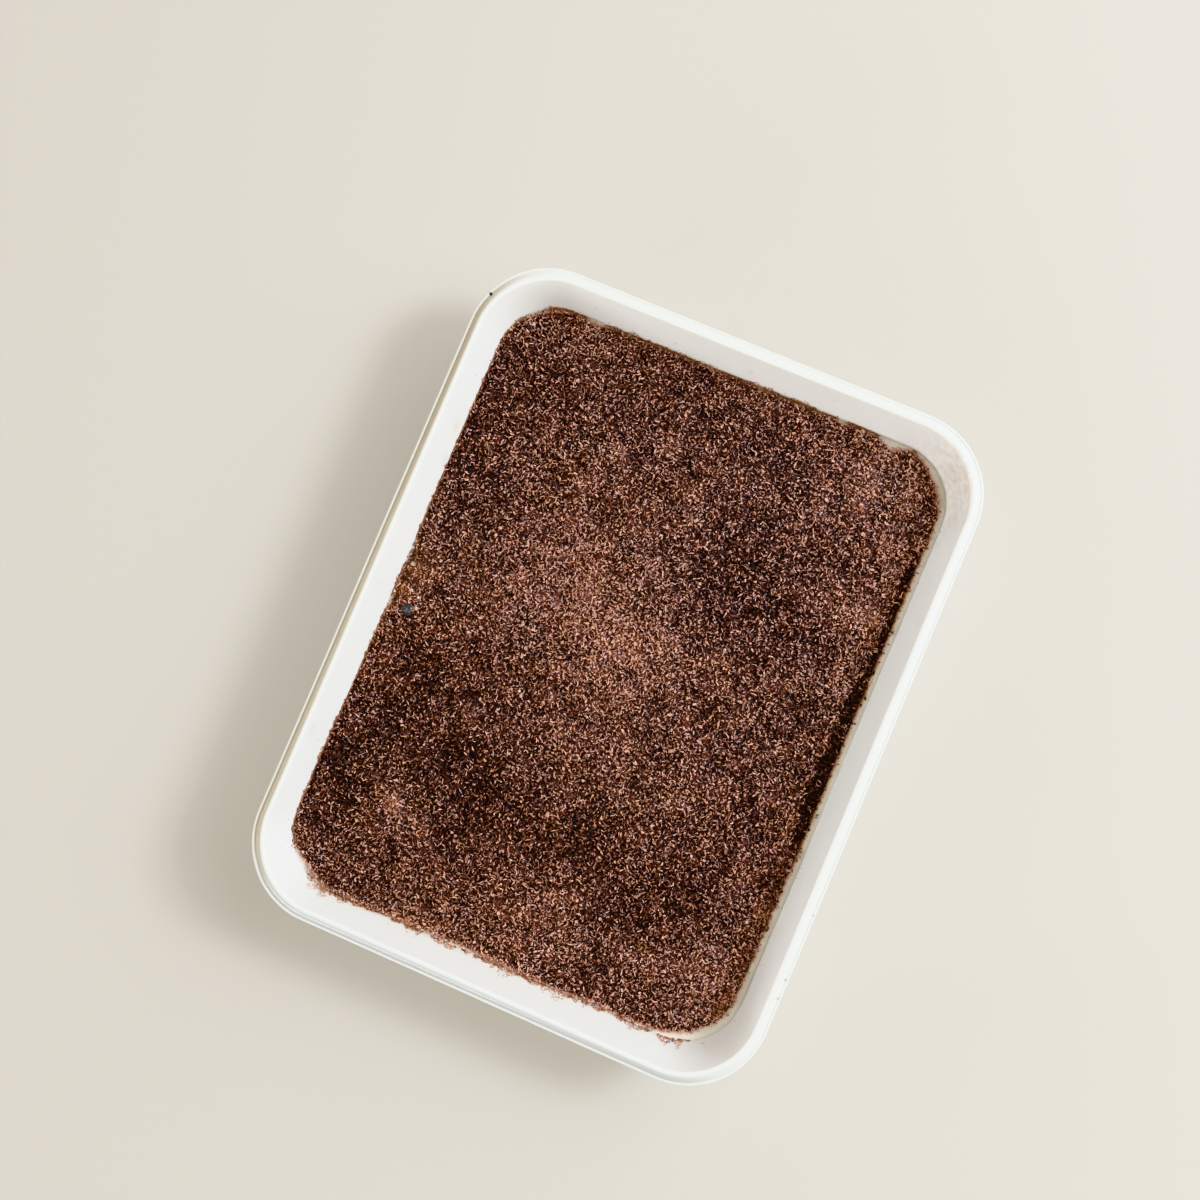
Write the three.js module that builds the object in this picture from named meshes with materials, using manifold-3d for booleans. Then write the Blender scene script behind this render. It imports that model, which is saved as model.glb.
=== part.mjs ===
import * as THREE from "three";
import { mergeVertices } from "three/addons/utils/BufferGeometryUtils.js";
import Module from "manifold-3d";

// A tiramisu in the white enamelled steel tray that it was set in, under a bed of grated chocolate.
// Millimetres, +Z up, +Y along the tray, the middle of the tray's foot at the origin.

// Tray
const TRAY_LENGTH = 205;
const TRAY_WIDTH = 159.3;
const TRAY_HEIGHT = 33;
const RIM_CORNER_RADIUS = 24.3;
// An inset takes this share of itself off the corner radius
const CORNER_TIGHTENING = 0.75;
const SHEET_THICKNESS = 1.2;
const BEAD_RADIUS = 2;
const WALL_LEAN_DEGREES = 16.5;
const FLOOR_FILLET = 7;
const CORNER_STEPS = 8;
const SHORT_SIDE_STEPS = 3;
const LONG_SIDE_STEPS = 4;
const FILLET_STEPS = 5;
const BEAD_STEPS = 13;

// Gap kept between pieces that touch
const CLEARANCE = 0.3;

// The bed's core goes down this far below the cream's level before the cream's shape is cut out of it,
// and that shape is this much larger than the cream
const CORE_FOOT = 4;
const PAST_THE_EDGE = 1.06;

// Joining leaves no face thinner than this
const SLIVER = 0.03;

// Cream, up to the underside of the chocolate. Its top is drawn as rings round the middle
const CREAM_LEVEL = 17.2;
const CREAM_RINGS = 7;

// Bed of grated chocolate: its mean depth and least depth, and the grid of its uneven top
const BED_DEPTH = 1.7;
const MINIMUM_BED = 0.55;
const BED_CELL = 4.3;
const BED_JITTER = 0.5;
const GRAIN_HEIGHT = 1.1;
const EDGE_GRAIN_HEIGHT = 0.33;
const GRAIN_DRAWS = 3;

// The bed falls towards its edge, which is ragged. What draws the edge in fades out over the reach.
const EDGE_DROP = 0.6;
const EDGE_WIDTH = 3;
const EDGE_REACH = 12;
const EDGE_RAGGEDNESS = 0.45;

// The bed stops short of the wall by this much on each side
const EDGE_GAP = { left: 0.05, right: 1.1, far: 0.4, near: 0.7 };

// Furrow along the right wall: where its crest runs, how deep it is, and how far it reaches in y
const FURROW = { crest: 65.2, width: 2.6, depth: 0.85, far: 62, near: -34, fade: 9 };

// Broad swells and hollows of the cream and of the bed over it: x, y, radius, height
const SWELLS = [
  [-24, 18, 24, 0.75],
  [8, 10, 14, 0.35],
  [22, 37, 17, -0.8],
  [44, 27, 12, -0.35],
  [59, 43, 9, 0.8],
  [44, 76, 13, 0.5],
  [-56, 74, 15, -0.5],
  [-34, 64, 9, 0.4],
  [-4, 72, 13, -0.3],
  [-46, 3, 9, -0.35],
  [-58, -32, 13, -0.4],
  [-24, -52, 12, -0.45],
  [14, -55, 13, -0.5],
  [34, -18, 10, 0.4],
  [48, -48, 12, -0.35],
  [3, -74, 13, 0.45],
  [52, -72, 12, 0.45],
  [-46, -63, 7, 0.5],
];

// Bites in the bed's outline that bare the cream: x, y, half length, depth
const BITES = [
  [49, 94, 3.2, 1.3],
  [33, 94, 2.4, 0.7],
  [-47, 94, 2.2, 0.8],
  [-72, 8, 6, 0.9],
  [-72, -8, 5, 0.8],
  [70, -54, 5, 0.8],
  [70, 12, 9, 0.3],
  [-30, -95, 7, 0.7],
  [8, -95, 9, 0.5],
];

// Shavings large enough to be pieces of the solid: ranges of length, width and bend, angles in radians
const SHAVING_LENGTH = [2.2, 3.6];
const SHAVING_WIDTH = [0.7, 1.1];
const SHAVING_THICKNESS = 0.4;
const SHAVING_BEND = [0.6, 2.2];
const SHAVING_END_WIDTH = 0.7;
const SHAVING_PITCH = 0.3;
const SHAVING_ROLL = 1.5;
const SHAVING_STEPS = 2;

// They lie one to a cell of the bed, risen a little out of it, and along the edge pointing up and out
const SHAVING_CELL = 16;
const SHAVING_RISE = 0.3;
const CELL_MARGIN = 0.15;
const FRINGE_SPACING = 18;
const FRINGE_INSET = 1.1;
const FRINGE_LIFT = -0.35;
const FRINGE_SPREAD = 0.9;

const RANDOM_SEED = 6;

const { degToRad, smoothstep } = THREE.MathUtils;

const wasm = await Module();
wasm.setup();

// Seeded draws between 0 and 1, the same on every run
function seededDraws(seed) {
  let state = seed;
  return () => {
    state = (state + 0x6d2b79f5) | 0;
    let mixed = Math.imul(state ^ (state >>> 15), 1 | state);
    mixed = (mixed + Math.imul(mixed ^ (mixed >>> 7), 61 | mixed)) ^ mixed;
    return ((mixed ^ (mixed >>> 14)) >>> 0) / 4294967296;
  };
}

const draw = seededDraws(RANDOM_SEED);
const drawBetween = ([low, high]) => low + (high - low) * draw();

// The mean of a few draws, about zero, so that middling values are the common ones
function drawGrain() {
  let sum = 0;
  for (let i = 0; i < GRAIN_DRAWS; i++) {
    sum += draw();
  }
  return (sum / GRAIN_DRAWS - 0.5) * 2;
}

// The rounded rectangle that lies inset from the rim's outer edge
function outlineAt(inset) {
  return {
    halfWidth: TRAY_WIDTH / 2 - inset,
    halfLength: TRAY_LENGTH / 2 - inset,
    radius: RIM_CORNER_RADIUS - CORNER_TIGHTENING * inset,
  };
}

// How far a point lies inside a rounded rectangle, and the way out of it
function insideOf({ halfWidth, halfLength, radius }, x, y) {
  const dx = Math.abs(x) - (halfWidth - radius);
  const dy = Math.abs(y) - (halfLength - radius);
  const out = new THREE.Vector2();
  let depth;
  if (dx > 0 && dy > 0) {
    out.set(dx, dy);
    depth = radius - out.length();
    out.normalize();
  } else if (dx > dy) {
    out.set(1, 0);
    depth = radius - dx;
  } else {
    out.set(0, 1);
    depth = radius - dy;
  }
  out.set(out.x * Math.sign(x), out.y * Math.sign(y));
  return { depth, out };
}

// Columns run once round the tray, counterclockwise from above: a turn through each corner, then a side
const columns = [];
for (let corner = 0; corner < 4; corner++) {
  const sideSteps = corner % 2 ? LONG_SIDE_STEPS : SHORT_SIDE_STEPS;
  for (let i = 0; i <= CORNER_STEPS; i++) {
    columns.push({ corner, turn: i / CORNER_STEPS, along: 0 });
  }
  for (let i = 1; i < sideSteps; i++) {
    columns.push({ corner, turn: 1, along: i / sideSteps });
  }
}

// The point of a corner's arc at a share of its quarter turn
function cornerPoint(corner, turn, { halfWidth, halfLength, radius }) {
  const angle = ((corner + turn) * Math.PI) / 2;
  const right = corner === 0 || corner === 3 ? 1 : -1;
  const far = corner < 2 ? 1 : -1;
  return new THREE.Vector3(
    right * (halfWidth - radius) + radius * Math.cos(angle),
    far * (halfLength - radius) + radius * Math.sin(angle),
    0,
  );
}

function columnPoint({ corner, turn, along }, inset) {
  const outline = outlineAt(inset);
  const here = cornerPoint(corner, turn, outline);
  return along ? here.lerp(cornerPoint((corner + 1) % 4, 0, outline), along) : here;
}

const ringAt = ([inset, z]) => columns.map((column) => columnPoint(column, inset).setZ(z));

// A closed skin over rings that follow each other. A ring of one point is a pole, and an open end is
// capped flat. Rings run counterclockwise seen from where the skin is heading.
function skin(rings) {
  const points = rings.flat();
  const faces = [];
  let start = 0;
  rings.forEach((ring, i) => {
    const next = rings[i + 1];
    const nextStart = start + ring.length;
    if (i === 0 && ring.length > 1) {
      for (let j = 1; j < ring.length - 1; j++) {
        faces.push(start, start + j + 1, start + j);
      }
    }
    if (!next && ring.length > 1) {
      for (let j = 1; j < ring.length - 1; j++) {
        faces.push(start, start + j, start + j + 1);
      }
    }
    if (next) {
      const count = Math.max(ring.length, next.length);
      for (let j = 0; j < count; j++) {
        const after = (j + 1) % count;
        if (ring.length > 1) {
          faces.push(start + j, start + after, nextStart + (next.length > 1 ? after : 0));
        }
        if (next.length > 1) {
          faces.push(start + (ring.length > 1 ? j : 0), nextStart + after, nextStart + j);
        }
      }
    }
    start = nextStart;
  });
  return geometryOf(points, faces);
}

function geometryOf(points, faces) {
  const geometry = new THREE.BufferGeometry().setFromPoints(points);
  geometry.setIndex(faces);
  return geometry;
}

function solidOf(geometry) {
  const merged = mergeVertices(geometry);
  return new wasm.Manifold(
    new wasm.Mesh({
      numProp: 3,
      vertProperties: new Float32Array(merged.attributes.position.array),
      triVerts: new Uint32Array(merged.index.array),
    }),
  );
}

// A solid's largest shell alone, which fills any pocket that joining sealed and drops any loose scrap
function outerShell(solid) {
  const { vertProperties, triVerts, numVert } = solid.getMesh();
  const leader = Array.from({ length: numVert }, (_, i) => i);
  const find = (i) => {
    while (leader[i] !== i) {
      leader[i] = leader[leader[i]];
      i = leader[i];
    }
    return i;
  };
  for (let i = 0; i < triVerts.length; i += 3) {
    leader[find(triVerts[i + 1])] = find(triVerts[i]);
    leader[find(triVerts[i + 2])] = find(triVerts[i]);
  }
  const shells = new Map();
  for (let i = 0; i < triVerts.length; i += 3) {
    const shell = find(triVerts[i]);
    shells.set(shell, [...(shells.get(shell) ?? []), ...triVerts.slice(i, i + 3)]);
  }
  const largest = [...shells.values()].sort((a, b) => b.length - a.length)[0];
  const geometry = new THREE.BufferGeometry();
  geometry.setAttribute("position", new THREE.BufferAttribute(vertProperties, 3));
  geometry.setIndex(largest);
  return geometry;
}

// The wall's inner face is a straight line, tangent to the bead's circle and to the floor's fillet.
// Profile points are pairs: inset from the rim's outer edge, height.
const wallLean = degToRad(WALL_LEAN_DEGREES);
const wallTop = [
  BEAD_RADIUS + BEAD_RADIUS * Math.cos(wallLean),
  TRAY_HEIGHT - BEAD_RADIUS + BEAD_RADIUS * Math.sin(wallLean),
];

// Inset of the wall's inner face at a height, or of a line parallel to it further in
function wallInset(z, offset = 0) {
  return wallTop[0] + (wallTop[1] - z) * Math.tan(wallLean) + offset / Math.cos(wallLean);
}

// The fillet between floor and wall, from the floor outwards, at an offset from the tray's inner face
function filletProfile(offset) {
  const centreHeight = SHEET_THICKNESS + FLOOR_FILLET;
  const centreInset = wallInset(centreHeight, FLOOR_FILLET);
  const radius = FLOOR_FILLET - offset;
  const sweep = Math.PI / 2 - wallLean;
  return Array.from({ length: FILLET_STEPS + 1 }, (_, i) => {
    const angle = (sweep * i) / FILLET_STEPS;
    return [centreInset - radius * Math.sin(angle), centreHeight - radius * Math.cos(angle)];
  });
}

// The rolled bead, from under the wall's outer face round the outside to the wall's inner face
function beadProfile() {
  const start = wallLean + 2 * Math.PI - Math.acos((BEAD_RADIUS - SHEET_THICKNESS) / BEAD_RADIUS);
  return Array.from({ length: BEAD_STEPS + 1 }, (_, i) => {
    const angle = start + ((wallLean - start) * i) / BEAD_STEPS;
    return [
      BEAD_RADIUS + BEAD_RADIUS * Math.cos(angle),
      TRAY_HEIGHT - BEAD_RADIUS + BEAD_RADIUS * Math.sin(angle),
    ];
  });
}

function trayGeometry() {
  const profile = [
    ...filletProfile(-SHEET_THICKNESS),
    ...beadProfile(),
    ...filletProfile(0).reverse(),
  ];
  return skin([
    [new THREE.Vector3(0, 0, 0)],
    ...profile.map(ringAt),
    [new THREE.Vector3(0, 0, SHEET_THICKNESS)],
  ]);
}

function creamHeight(x, y) {
  return SWELLS.reduce(
    (height, [sx, sy, radius, rise]) =>
      height + rise * Math.exp(-((x - sx) ** 2 + (y - sy) ** 2) / radius ** 2),
    CREAM_LEVEL,
  );
}

// The cream's top edge, where the uneven top meets the wall
function creamEdge(column) {
  const near = columnPoint(column, wallInset(CREAM_LEVEL, CLEARANCE));
  const height = creamHeight(near.x, near.y);
  return columnPoint(column, wallInset(height, CLEARANCE)).setZ(height);
}

// The cream's top as rings drawn in towards the middle, from a share of the edge's size, lifted by a raise
function creamTopRings(outermost, raise) {
  const edge = columns.map(creamEdge);
  const shares = [...outermost];
  for (let i = CREAM_RINGS; i > 0; i--) {
    shares.push(i / CREAM_RINGS);
  }
  const rings = shares.map((share) =>
    edge.map((point) => {
      const x = point.x * share;
      const y = point.y * share;
      return new THREE.Vector3(x, y, creamHeight(x, y) + raise);
    }),
  );
  return [...rings, [new THREE.Vector3(0, 0, creamHeight(0, 0) + raise)]];
}

function creamGeometry() {
  return skin([
    [new THREE.Vector3(0, 0, SHEET_THICKNESS + CLEARANCE)],
    ...filletProfile(CLEARANCE).map(ringAt),
    ...creamTopRings([], 0),
  ]);
}

// What lies below the bed: the cream's own top raised by the gap, and running out past the bed's edge
function belowBed() {
  const rings = creamTopRings([PAST_THE_EDGE], CLEARANCE);
  const floor = rings[0].map((point) => point.clone().setZ(0));
  return solidOf(skin([[new THREE.Vector3(0, 0, 0)], floor, ...rings]));
}

// How much the furrow takes off the bed
function furrowAt(x, y) {
  const alongIt =
    smoothstep(y, FURROW.near - FURROW.fade, FURROW.near + FURROW.fade) *
    (1 - smoothstep(y, FURROW.far - FURROW.fade, FURROW.far + FURROW.fade));
  return FURROW.depth * alongIt * smoothstep(x, FURROW.crest, FURROW.crest + FURROW.width);
}

// The bed reaches the wall's own outline at the height of its edge, less the clearance
const bedOutline = outlineAt(wallInset(CREAM_LEVEL + BED_DEPTH, CLEARANCE));

// How far the bed's edge is drawn in from that outline near a point
function edgeInset(x, y, out) {
  let inset =
    EDGE_GAP.right * Math.max(out.x, 0) ** 2 +
    EDGE_GAP.left * Math.min(out.x, 0) ** 2 +
    EDGE_GAP.far * Math.max(out.y, 0) ** 2 +
    EDGE_GAP.near * Math.min(out.y, 0) ** 2;
  for (const [bx, by, halfLength, depth] of BITES) {
    inset += depth * Math.exp(-((x - bx) ** 2 + (y - by) ** 2) / halfLength ** 2);
  }
  return inset;
}

function bedHeight(x, y, depth) {
  const edge = EDGE_DROP * (1 - smoothstep(depth, 0, EDGE_WIDTH));
  return creamHeight(x, y) + BED_DEPTH - edge - furrowAt(x, y);
}

// Rows of the bed's grid: even steps along the sides, even turns in the corners. A row spans the outline.
function bedRows() {
  const { halfWidth, halfLength, radius } = bedOutline;
  const turns = Math.round((radius * Math.PI) / 2 / BED_CELL);
  const straight = halfLength - radius;
  const steps = Math.round((2 * straight) / BED_CELL);
  const rows = [];
  const cap = (sign, i) => {
    const angle = (i / turns) * (Math.PI / 2);
    rows.push([
      sign * (straight + radius * Math.sin(angle)),
      halfWidth - radius + radius * Math.cos(angle),
    ]);
  };
  for (let i = turns; i > 0; i--) cap(-1, i);
  for (let i = 0; i <= steps; i++) {
    rows.push([-straight + (2 * straight * i) / steps, halfWidth]);
  }
  for (let i = 1; i <= turns; i++) cap(1, i);
  return rows;
}

// The bed's core: an uneven top on a grid, sides that lean with the wall, and a flat foot in the cream
function bedCore() {
  const rows = bedRows();
  const across = Math.round((2 * bedOutline.halfWidth) / BED_CELL);
  const width = across + 1;
  const top = [];
  rows.forEach(([rowY, span], i) => {
    for (let j = 0; j <= across; j++) {
      const onEdge = i === 0 || j === 0 || i === rows.length - 1 || j === across;
      let x = span * ((2 * j) / across - 1);
      let y = rowY;
      const { depth, out } = insideOf(bedOutline, x, y);
      const ragged = EDGE_RAGGEDNESS * draw() * (onEdge ? 1 : 0);
      const pull = (edgeInset(x, y, out) + ragged) * (1 - smoothstep(depth, 0, EDGE_REACH));
      const jitter = onEdge ? 0 : BED_JITTER;
      const grain = (onEdge ? EDGE_GRAIN_HEIGHT : GRAIN_HEIGHT) * drawGrain();
      const height = bedHeight(x, y, depth) + grain;
      x += jitter * drawGrain() - out.x * pull;
      y += jitter * drawGrain() - out.y * pull;
      top.push(new THREE.Vector3(x, y, Math.max(height, creamHeight(x, y) + MINIMUM_BED)));
    }
  });
  const faces = [];
  for (let i = 0; i < rows.length - 1; i++) {
    for (let j = 0; j < across; j++) {
      const here = i * width + j;
      faces.push(here, here + 1, here + width + 1, here, here + width + 1, here + width);
    }
  }
  const rim = [];
  for (let j = 0; j < across; j++) rim.push(j);
  for (let i = 0; i < rows.length - 1; i++) rim.push(i * width + across);
  for (let j = across; j > 0; j--) rim.push((rows.length - 1) * width + j);
  for (let i = rows.length - 1; i > 0; i--) rim.push(i * width);
  const footHeight = CREAM_LEVEL - CORE_FOOT;
  const points = [...top];
  rim.forEach((index) => {
    const { out } = insideOf(bedOutline, top[index].x, top[index].y);
    const drawnIn = (top[index].z - footHeight) * Math.tan(wallLean);
    points.push(
      new THREE.Vector3(
        top[index].x - out.x * drawnIn,
        top[index].y - out.y * drawnIn,
        footHeight,
      ),
    );
  });
  points.push(new THREE.Vector3(0, 0, footHeight));
  const centre = points.length - 1;
  rim.forEach((index, k) => {
    const after = (k + 1) % rim.length;
    const below = top.length + k;
    const belowAfter = top.length + after;
    faces.push(below, belowAfter, rim[after], below, rim[after], index);
    faces.push(centre, belowAfter, below);
  });
  return solidOf(geometryOf(points, faces));
}

// A shaving: a thin strip on edge, bent along an arc, pitched and rolled, with its middle at a point
function shavingGeometry(place, heading, lift) {
  const length = drawBetween(SHAVING_LENGTH);
  const width = drawBetween(SHAVING_WIDTH);
  const bend = drawBetween(SHAVING_BEND) * (draw() < 0.5 ? -1 : 1);
  const radius = length / bend;
  const turn = new THREE.Euler(
    SHAVING_ROLL * drawGrain(),
    lift + SHAVING_PITCH * drawGrain(),
    heading,
    "ZYX",
  );
  const rings = [];
  for (let i = 0; i <= SHAVING_STEPS; i++) {
    const share = i / SHAVING_STEPS - 0.5;
    const angle = bend * share;
    const taper = 1 - (1 - SHAVING_END_WIDTH) * (2 * share) ** 2;
    const side = new THREE.Vector3(-Math.sin(angle), Math.cos(angle), 0);
    const middle = new THREE.Vector3(Math.sin(angle), 1 - Math.cos(angle), 0).multiplyScalar(radius);
    const ring = [
      [-1, -1],
      [1, -1],
      [1, 1],
      [-1, 1],
    ].map(([across, up]) =>
      middle
        .clone()
        .addScaledVector(side, (across * SHAVING_THICKNESS) / 2)
        .setZ((up * width * taper) / 2)
        .applyEuler(turn)
        .add(place),
    );
    rings.push(ring);
  }
  return skin(rings);
}

// A point keeps the clearance to the wall at its own height
function clearOfWall(point) {
  return insideOf(outlineAt(wallInset(point.z, CLEARANCE)), point.x, point.y).depth > 0;
}

function geometryClearOfWall(geometry) {
  const position = geometry.attributes.position;
  const point = new THREE.Vector3();
  for (let i = 0; i < position.count; i++) {
    if (!clearOfWall(point.fromBufferAttribute(position, i))) {
      return false;
    }
  }
  return true;
}

// Shavings spread over the bed, one to a cell, and along its edge, pointing out of it
function shavings() {
  const { halfWidth, halfLength } = bedOutline;
  const found = [];
  const place = (x, y, heading, lift) => {
    const { depth } = insideOf(bedOutline, x, y);
    const height = bedHeight(x, y, depth) + SHAVING_RISE;
    const geometry = shavingGeometry(new THREE.Vector3(x, y, height), heading, lift);
    if (depth > 0 && geometryClearOfWall(geometry)) {
      found.push(solidOf(geometry));
    }
  };
  const withinCell = [CELL_MARGIN, 1 - CELL_MARGIN];
  const cellsX = Math.round((2 * halfWidth) / SHAVING_CELL);
  const cellsY = Math.round((2 * halfLength) / SHAVING_CELL);
  for (let i = 0; i < cellsX; i++) {
    for (let j = 0; j < cellsY; j++) {
      const x = (2 * halfWidth * (i + drawBetween(withinCell))) / cellsX - halfWidth;
      const y = (2 * halfLength * (j + drawBetween(withinCell))) / cellsY - halfLength;
      place(x, y, draw() * Math.PI * 2, 0);
    }
  }
  columns.forEach((column, i) => {
    const inset = wallInset(CREAM_LEVEL + BED_DEPTH, CLEARANCE) + FRINGE_INSET;
    const here = columnPoint(column, inset);
    const gap = columnPoint(columns[(i + 1) % columns.length], inset).sub(here);
    const count = Math.max(1, Math.round(gap.length() / FRINGE_SPACING));
    for (let k = 0; k < count; k++) {
      const spot = here.clone().addScaledVector(gap, (k + draw()) / count);
      const { out } = insideOf(bedOutline, spot.x, spot.y);
      const heading = Math.atan2(out.y, out.x) + FRINGE_SPREAD * drawGrain();
      const pulled = edgeInset(spot.x, spot.y, out);
      place(spot.x - out.x * pulled, spot.y - out.y * pulled, heading, FRINGE_LIFT);
    }
  });
  return found;
}

// The bed: core and shavings joined, and cut clear of the cream
function chocolateGeometry() {
  const joined = shavings().reduce((bed, shaving) => bed.add(shaving), bedCore());
  return outerShell(joined.subtract(belowBed()).simplify(SLIVER));
}

function part(name, geometry, look) {
  const mesh = new THREE.Mesh(geometry, new THREE.MeshStandardMaterial(look));
  mesh.name = name;
  return mesh;
}

const tiramisu = new THREE.Group();
tiramisu.add(
  part("enamel_tray", trayGeometry(), { color: 0xf0f2f1, roughness: 0.18, metalness: 0 }),
  part("cream_filling", creamGeometry(), { color: 0xeadcbc, roughness: 0.55, metalness: 0 }),
  part("grated_chocolate", chocolateGeometry(), { color: 0x6a4136, roughness: 0.6, metalness: 0 }),
);

export default tiramisu;
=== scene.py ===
import math
from typing import NamedTuple

import bpy
import numpy as np
from bpy.props import FloatProperty, FloatVectorProperty, IntProperty, PointerProperty
from mathutils import Matrix, Vector


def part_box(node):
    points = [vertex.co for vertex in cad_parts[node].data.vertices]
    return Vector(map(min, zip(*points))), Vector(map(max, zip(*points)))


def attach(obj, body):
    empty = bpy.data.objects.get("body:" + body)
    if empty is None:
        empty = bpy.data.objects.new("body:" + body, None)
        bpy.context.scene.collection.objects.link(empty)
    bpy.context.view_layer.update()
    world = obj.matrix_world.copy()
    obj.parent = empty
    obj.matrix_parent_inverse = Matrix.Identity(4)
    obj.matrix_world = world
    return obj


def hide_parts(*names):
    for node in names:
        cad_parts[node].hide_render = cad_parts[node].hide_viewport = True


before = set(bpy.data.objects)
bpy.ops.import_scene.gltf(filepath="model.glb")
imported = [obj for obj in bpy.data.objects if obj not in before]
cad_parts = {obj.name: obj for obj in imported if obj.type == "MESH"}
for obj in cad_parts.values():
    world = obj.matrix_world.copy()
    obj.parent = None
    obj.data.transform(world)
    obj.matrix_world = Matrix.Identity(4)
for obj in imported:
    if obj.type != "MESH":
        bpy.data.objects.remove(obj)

bl_info = {
    "name": "Tiramisu in an enamel tray",
    "version": (1, 0, 0),
    "blender": (4, 5, 0),
    "location": "View3D > Sidebar > Tiramisu",
    "description": "Enamel, cream and loose grated chocolate over the packed tray",
    "category": "Object",
}

MM = 0.001
QUARTER_TURN = math.pi / 2

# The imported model's box, and the tray's, which the fine surfaces keep to
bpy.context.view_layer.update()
TRAY_LOW, TRAY_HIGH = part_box("enamel_tray")
TRAY_WIDTH = TRAY_HIGH.x - TRAY_LOW.x
TRAY_LENGTH = TRAY_HIGH.y - TRAY_LOW.y
TRAY_HEIGHT = TRAY_HIGH.z
CREAM_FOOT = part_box("cream_filling")[0].z

# Broad swells and hollows of the food, in millimetres: x, y, radius, height
SWELLS = (
    (-24, 18, 24, 0.75),
    (8, 10, 14, 0.35),
    (22, 37, 17, -0.8),
    (44, 27, 12, -0.35),
    (59, 43, 9, 0.8),
    (44, 76, 13, 0.5),
    (-56, 74, 15, -0.5),
    (-34, 64, 9, 0.4),
    (-4, 72, 13, -0.3),
    (-46, 3, 9, -0.35),
    (-58, -32, 13, -0.4),
    (-24, -52, 12, -0.45),
    (14, -55, 13, -0.5),
    (34, -18, 10, 0.4),
    (48, -48, 12, -0.35),
    (3, -74, 13, 0.45),
    (52, -72, 12, 0.45),
    (-46, -63, 7, 0.5),
    (48, -98, 42, -1.3),
    (66, -92, 12, -0.6),
    (-76, -58, 18, 0.9),
)

# Bites in the bed's outline that bare the cream, in millimetres: x, y, half length, depth
BITES = (
    (49.5, 94, 3.6, 2.3),
    (33, 94, 2.4, 0.6),
    (-47, 94, 2.2, 0.8),
    (66, 91, 9, 1.3),
    (-66, 90, 6, 0.4),
    (-72, 8, 6, 0.9),
    (-72, -8, 5, 0.8),
    (-74, -58, 14, -0.35),
    (-64, -90, 7, 1.2),
    (-46, -95, 9, -0.5),
    (-10, -95, 9, 0.4),
    (32, -95, 6, 0.6),
    (46, -95, 6, 0.5),
    (64, -89, 10, 2.0),
    (72, -50, 18, 0.3),
    (72, -73, 12, 0.6),
    (56, -93, 5, 0.9),
)

# The bed stops short of the wall by this much on its right, left, far and near sides, in millimetres
EDGE_GAPS = (1.95, 0.15, 0.6, 1.0)

# How much paler the shavings are along the bed's edge, on the same sides
EDGE_TONES = (0.0, 0.0, 0.6, 1.2)

# Patches where the shavings are paler or darker, in millimetres: x, y, radius, how much paler
PATCHES = (
    (-20, 16, 26, 0.46),
    (0, 8, 14, 0.35),
    (1, -22, 12, 0.12),
    (-46, -62, 9, 0.25),
    (58, 44, 7, 0.22),
    (47, 82, 15, 0.30),
    (-52, 90, 15, 0.30),
    (-32, 50, 11, 0.20),
    (-47, -62, 5, 0.40),
    (-6, -82, 22, 0.20),
    (55, -77, 14, 0.42),
    (31, -24, 8, 0.22),
    (24, 35, 16, -0.25),
    (44, 27, 11, -0.20),
    (50, 6, 9, -0.30),
    (-20, 48, 9, -0.25),
    (-8, 27, 9, -0.20),
    (6, -72, 10, 0.28),
    (56, 88, 8, 0.30),
    (10, -13, 8, -0.22),
    (-70, 38, 7, -0.30),
    (30, 68, 6, -0.25),
    (50, -22, 7, -0.25),
    (50, 28, 8, -0.15),
    (58, -50, 8, 0.25),
    (-48, -38, 8, 0.25),
    (-70, -60, 7, -0.25),
    (-40, 48, 7, -0.25),
    (-55, 48, 7, 0.2),
    (60, 25, 16, 0.22),
    (-44, -32, 20, -0.25),
    (-5, -62, 18, -0.28),
    (40, -62, 13, -0.25),
    (-56, 75, 15, -0.25),
    (-68, 55, 16, -0.30),
    (-58, -32, 12, -0.20),
    (-40, -46, 13, -0.25),
    (-64, -62, 12, -0.30),
    (-24, -52, 12, -0.25),
    (14, -55, 12, -0.30),
    (48, -50, 13, -0.30),
    (-22, 84, 12, -0.20),
    (64.0, 42, 1.9, 0.6),
    (62.5, 38, 1.4, 0.3),
    (-46.6, -62, 2.2, 0.5),
    (-48, 49, 2.5, 0.3),
    (38.5, -73, 2.2, 0.35),
)

# Broad drifts of hue, in millimetres: x, y, radius, how much more orange
DRIFTS = (
    (32, 48, 34, -0.25),
    (0, -88, 44, 0.12),
    (-72, 18, 34, 0.10),
)

# Places where cream has tinted the shavings golden, in millimetres: x, y, radius, strength
GOLD = (
    (-69.5, 10, 2.6, 0.35),
    (-68, 4, 3.4, 0.6),
    (-70, -3, 2.6, 0.8),
    (-71.5, -9, 2.0, 0.8),
    (-71.5, -15, 1.7, 0.7),
    (-71.5, -20, 1.5, 0.5),
    (38.5, -73, 1.8, 0.5),
    (-46.6, -62, 1.8, 0.45),
    (64, 42, 1.7, 0.4),
    (62.5, 38, 1.3, 0.3),
    (68.5, -50, 3.2, 0.7),
    (68, -81, 3.0, 0.6),
    (-30, -95, 6, 0.3),
)

# Spots where a little cream comes up between the shavings, in millimetres: x, y, radius
CREAM_SPOTS = (
    (-24.5, -17.5, 0.42),
    (-23.4, -18.3, 0.25),
    (-46.6, -61.2, 0.4),
    (-69.0, 5.2, 0.55),
    (-66.3, -2.4, 0.5),
    (-63.6, -3.6, 0.45),
    (-62.8, -6.8, 0.55),
    (-71.2, -4.6, 0.45),
)

# A dark blue-grey lump near the left edge, in millimetres: x, y, and its half sizes
LUMP = (-65.1, -8.2, 1.9, 1.6, 0.9)

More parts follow.
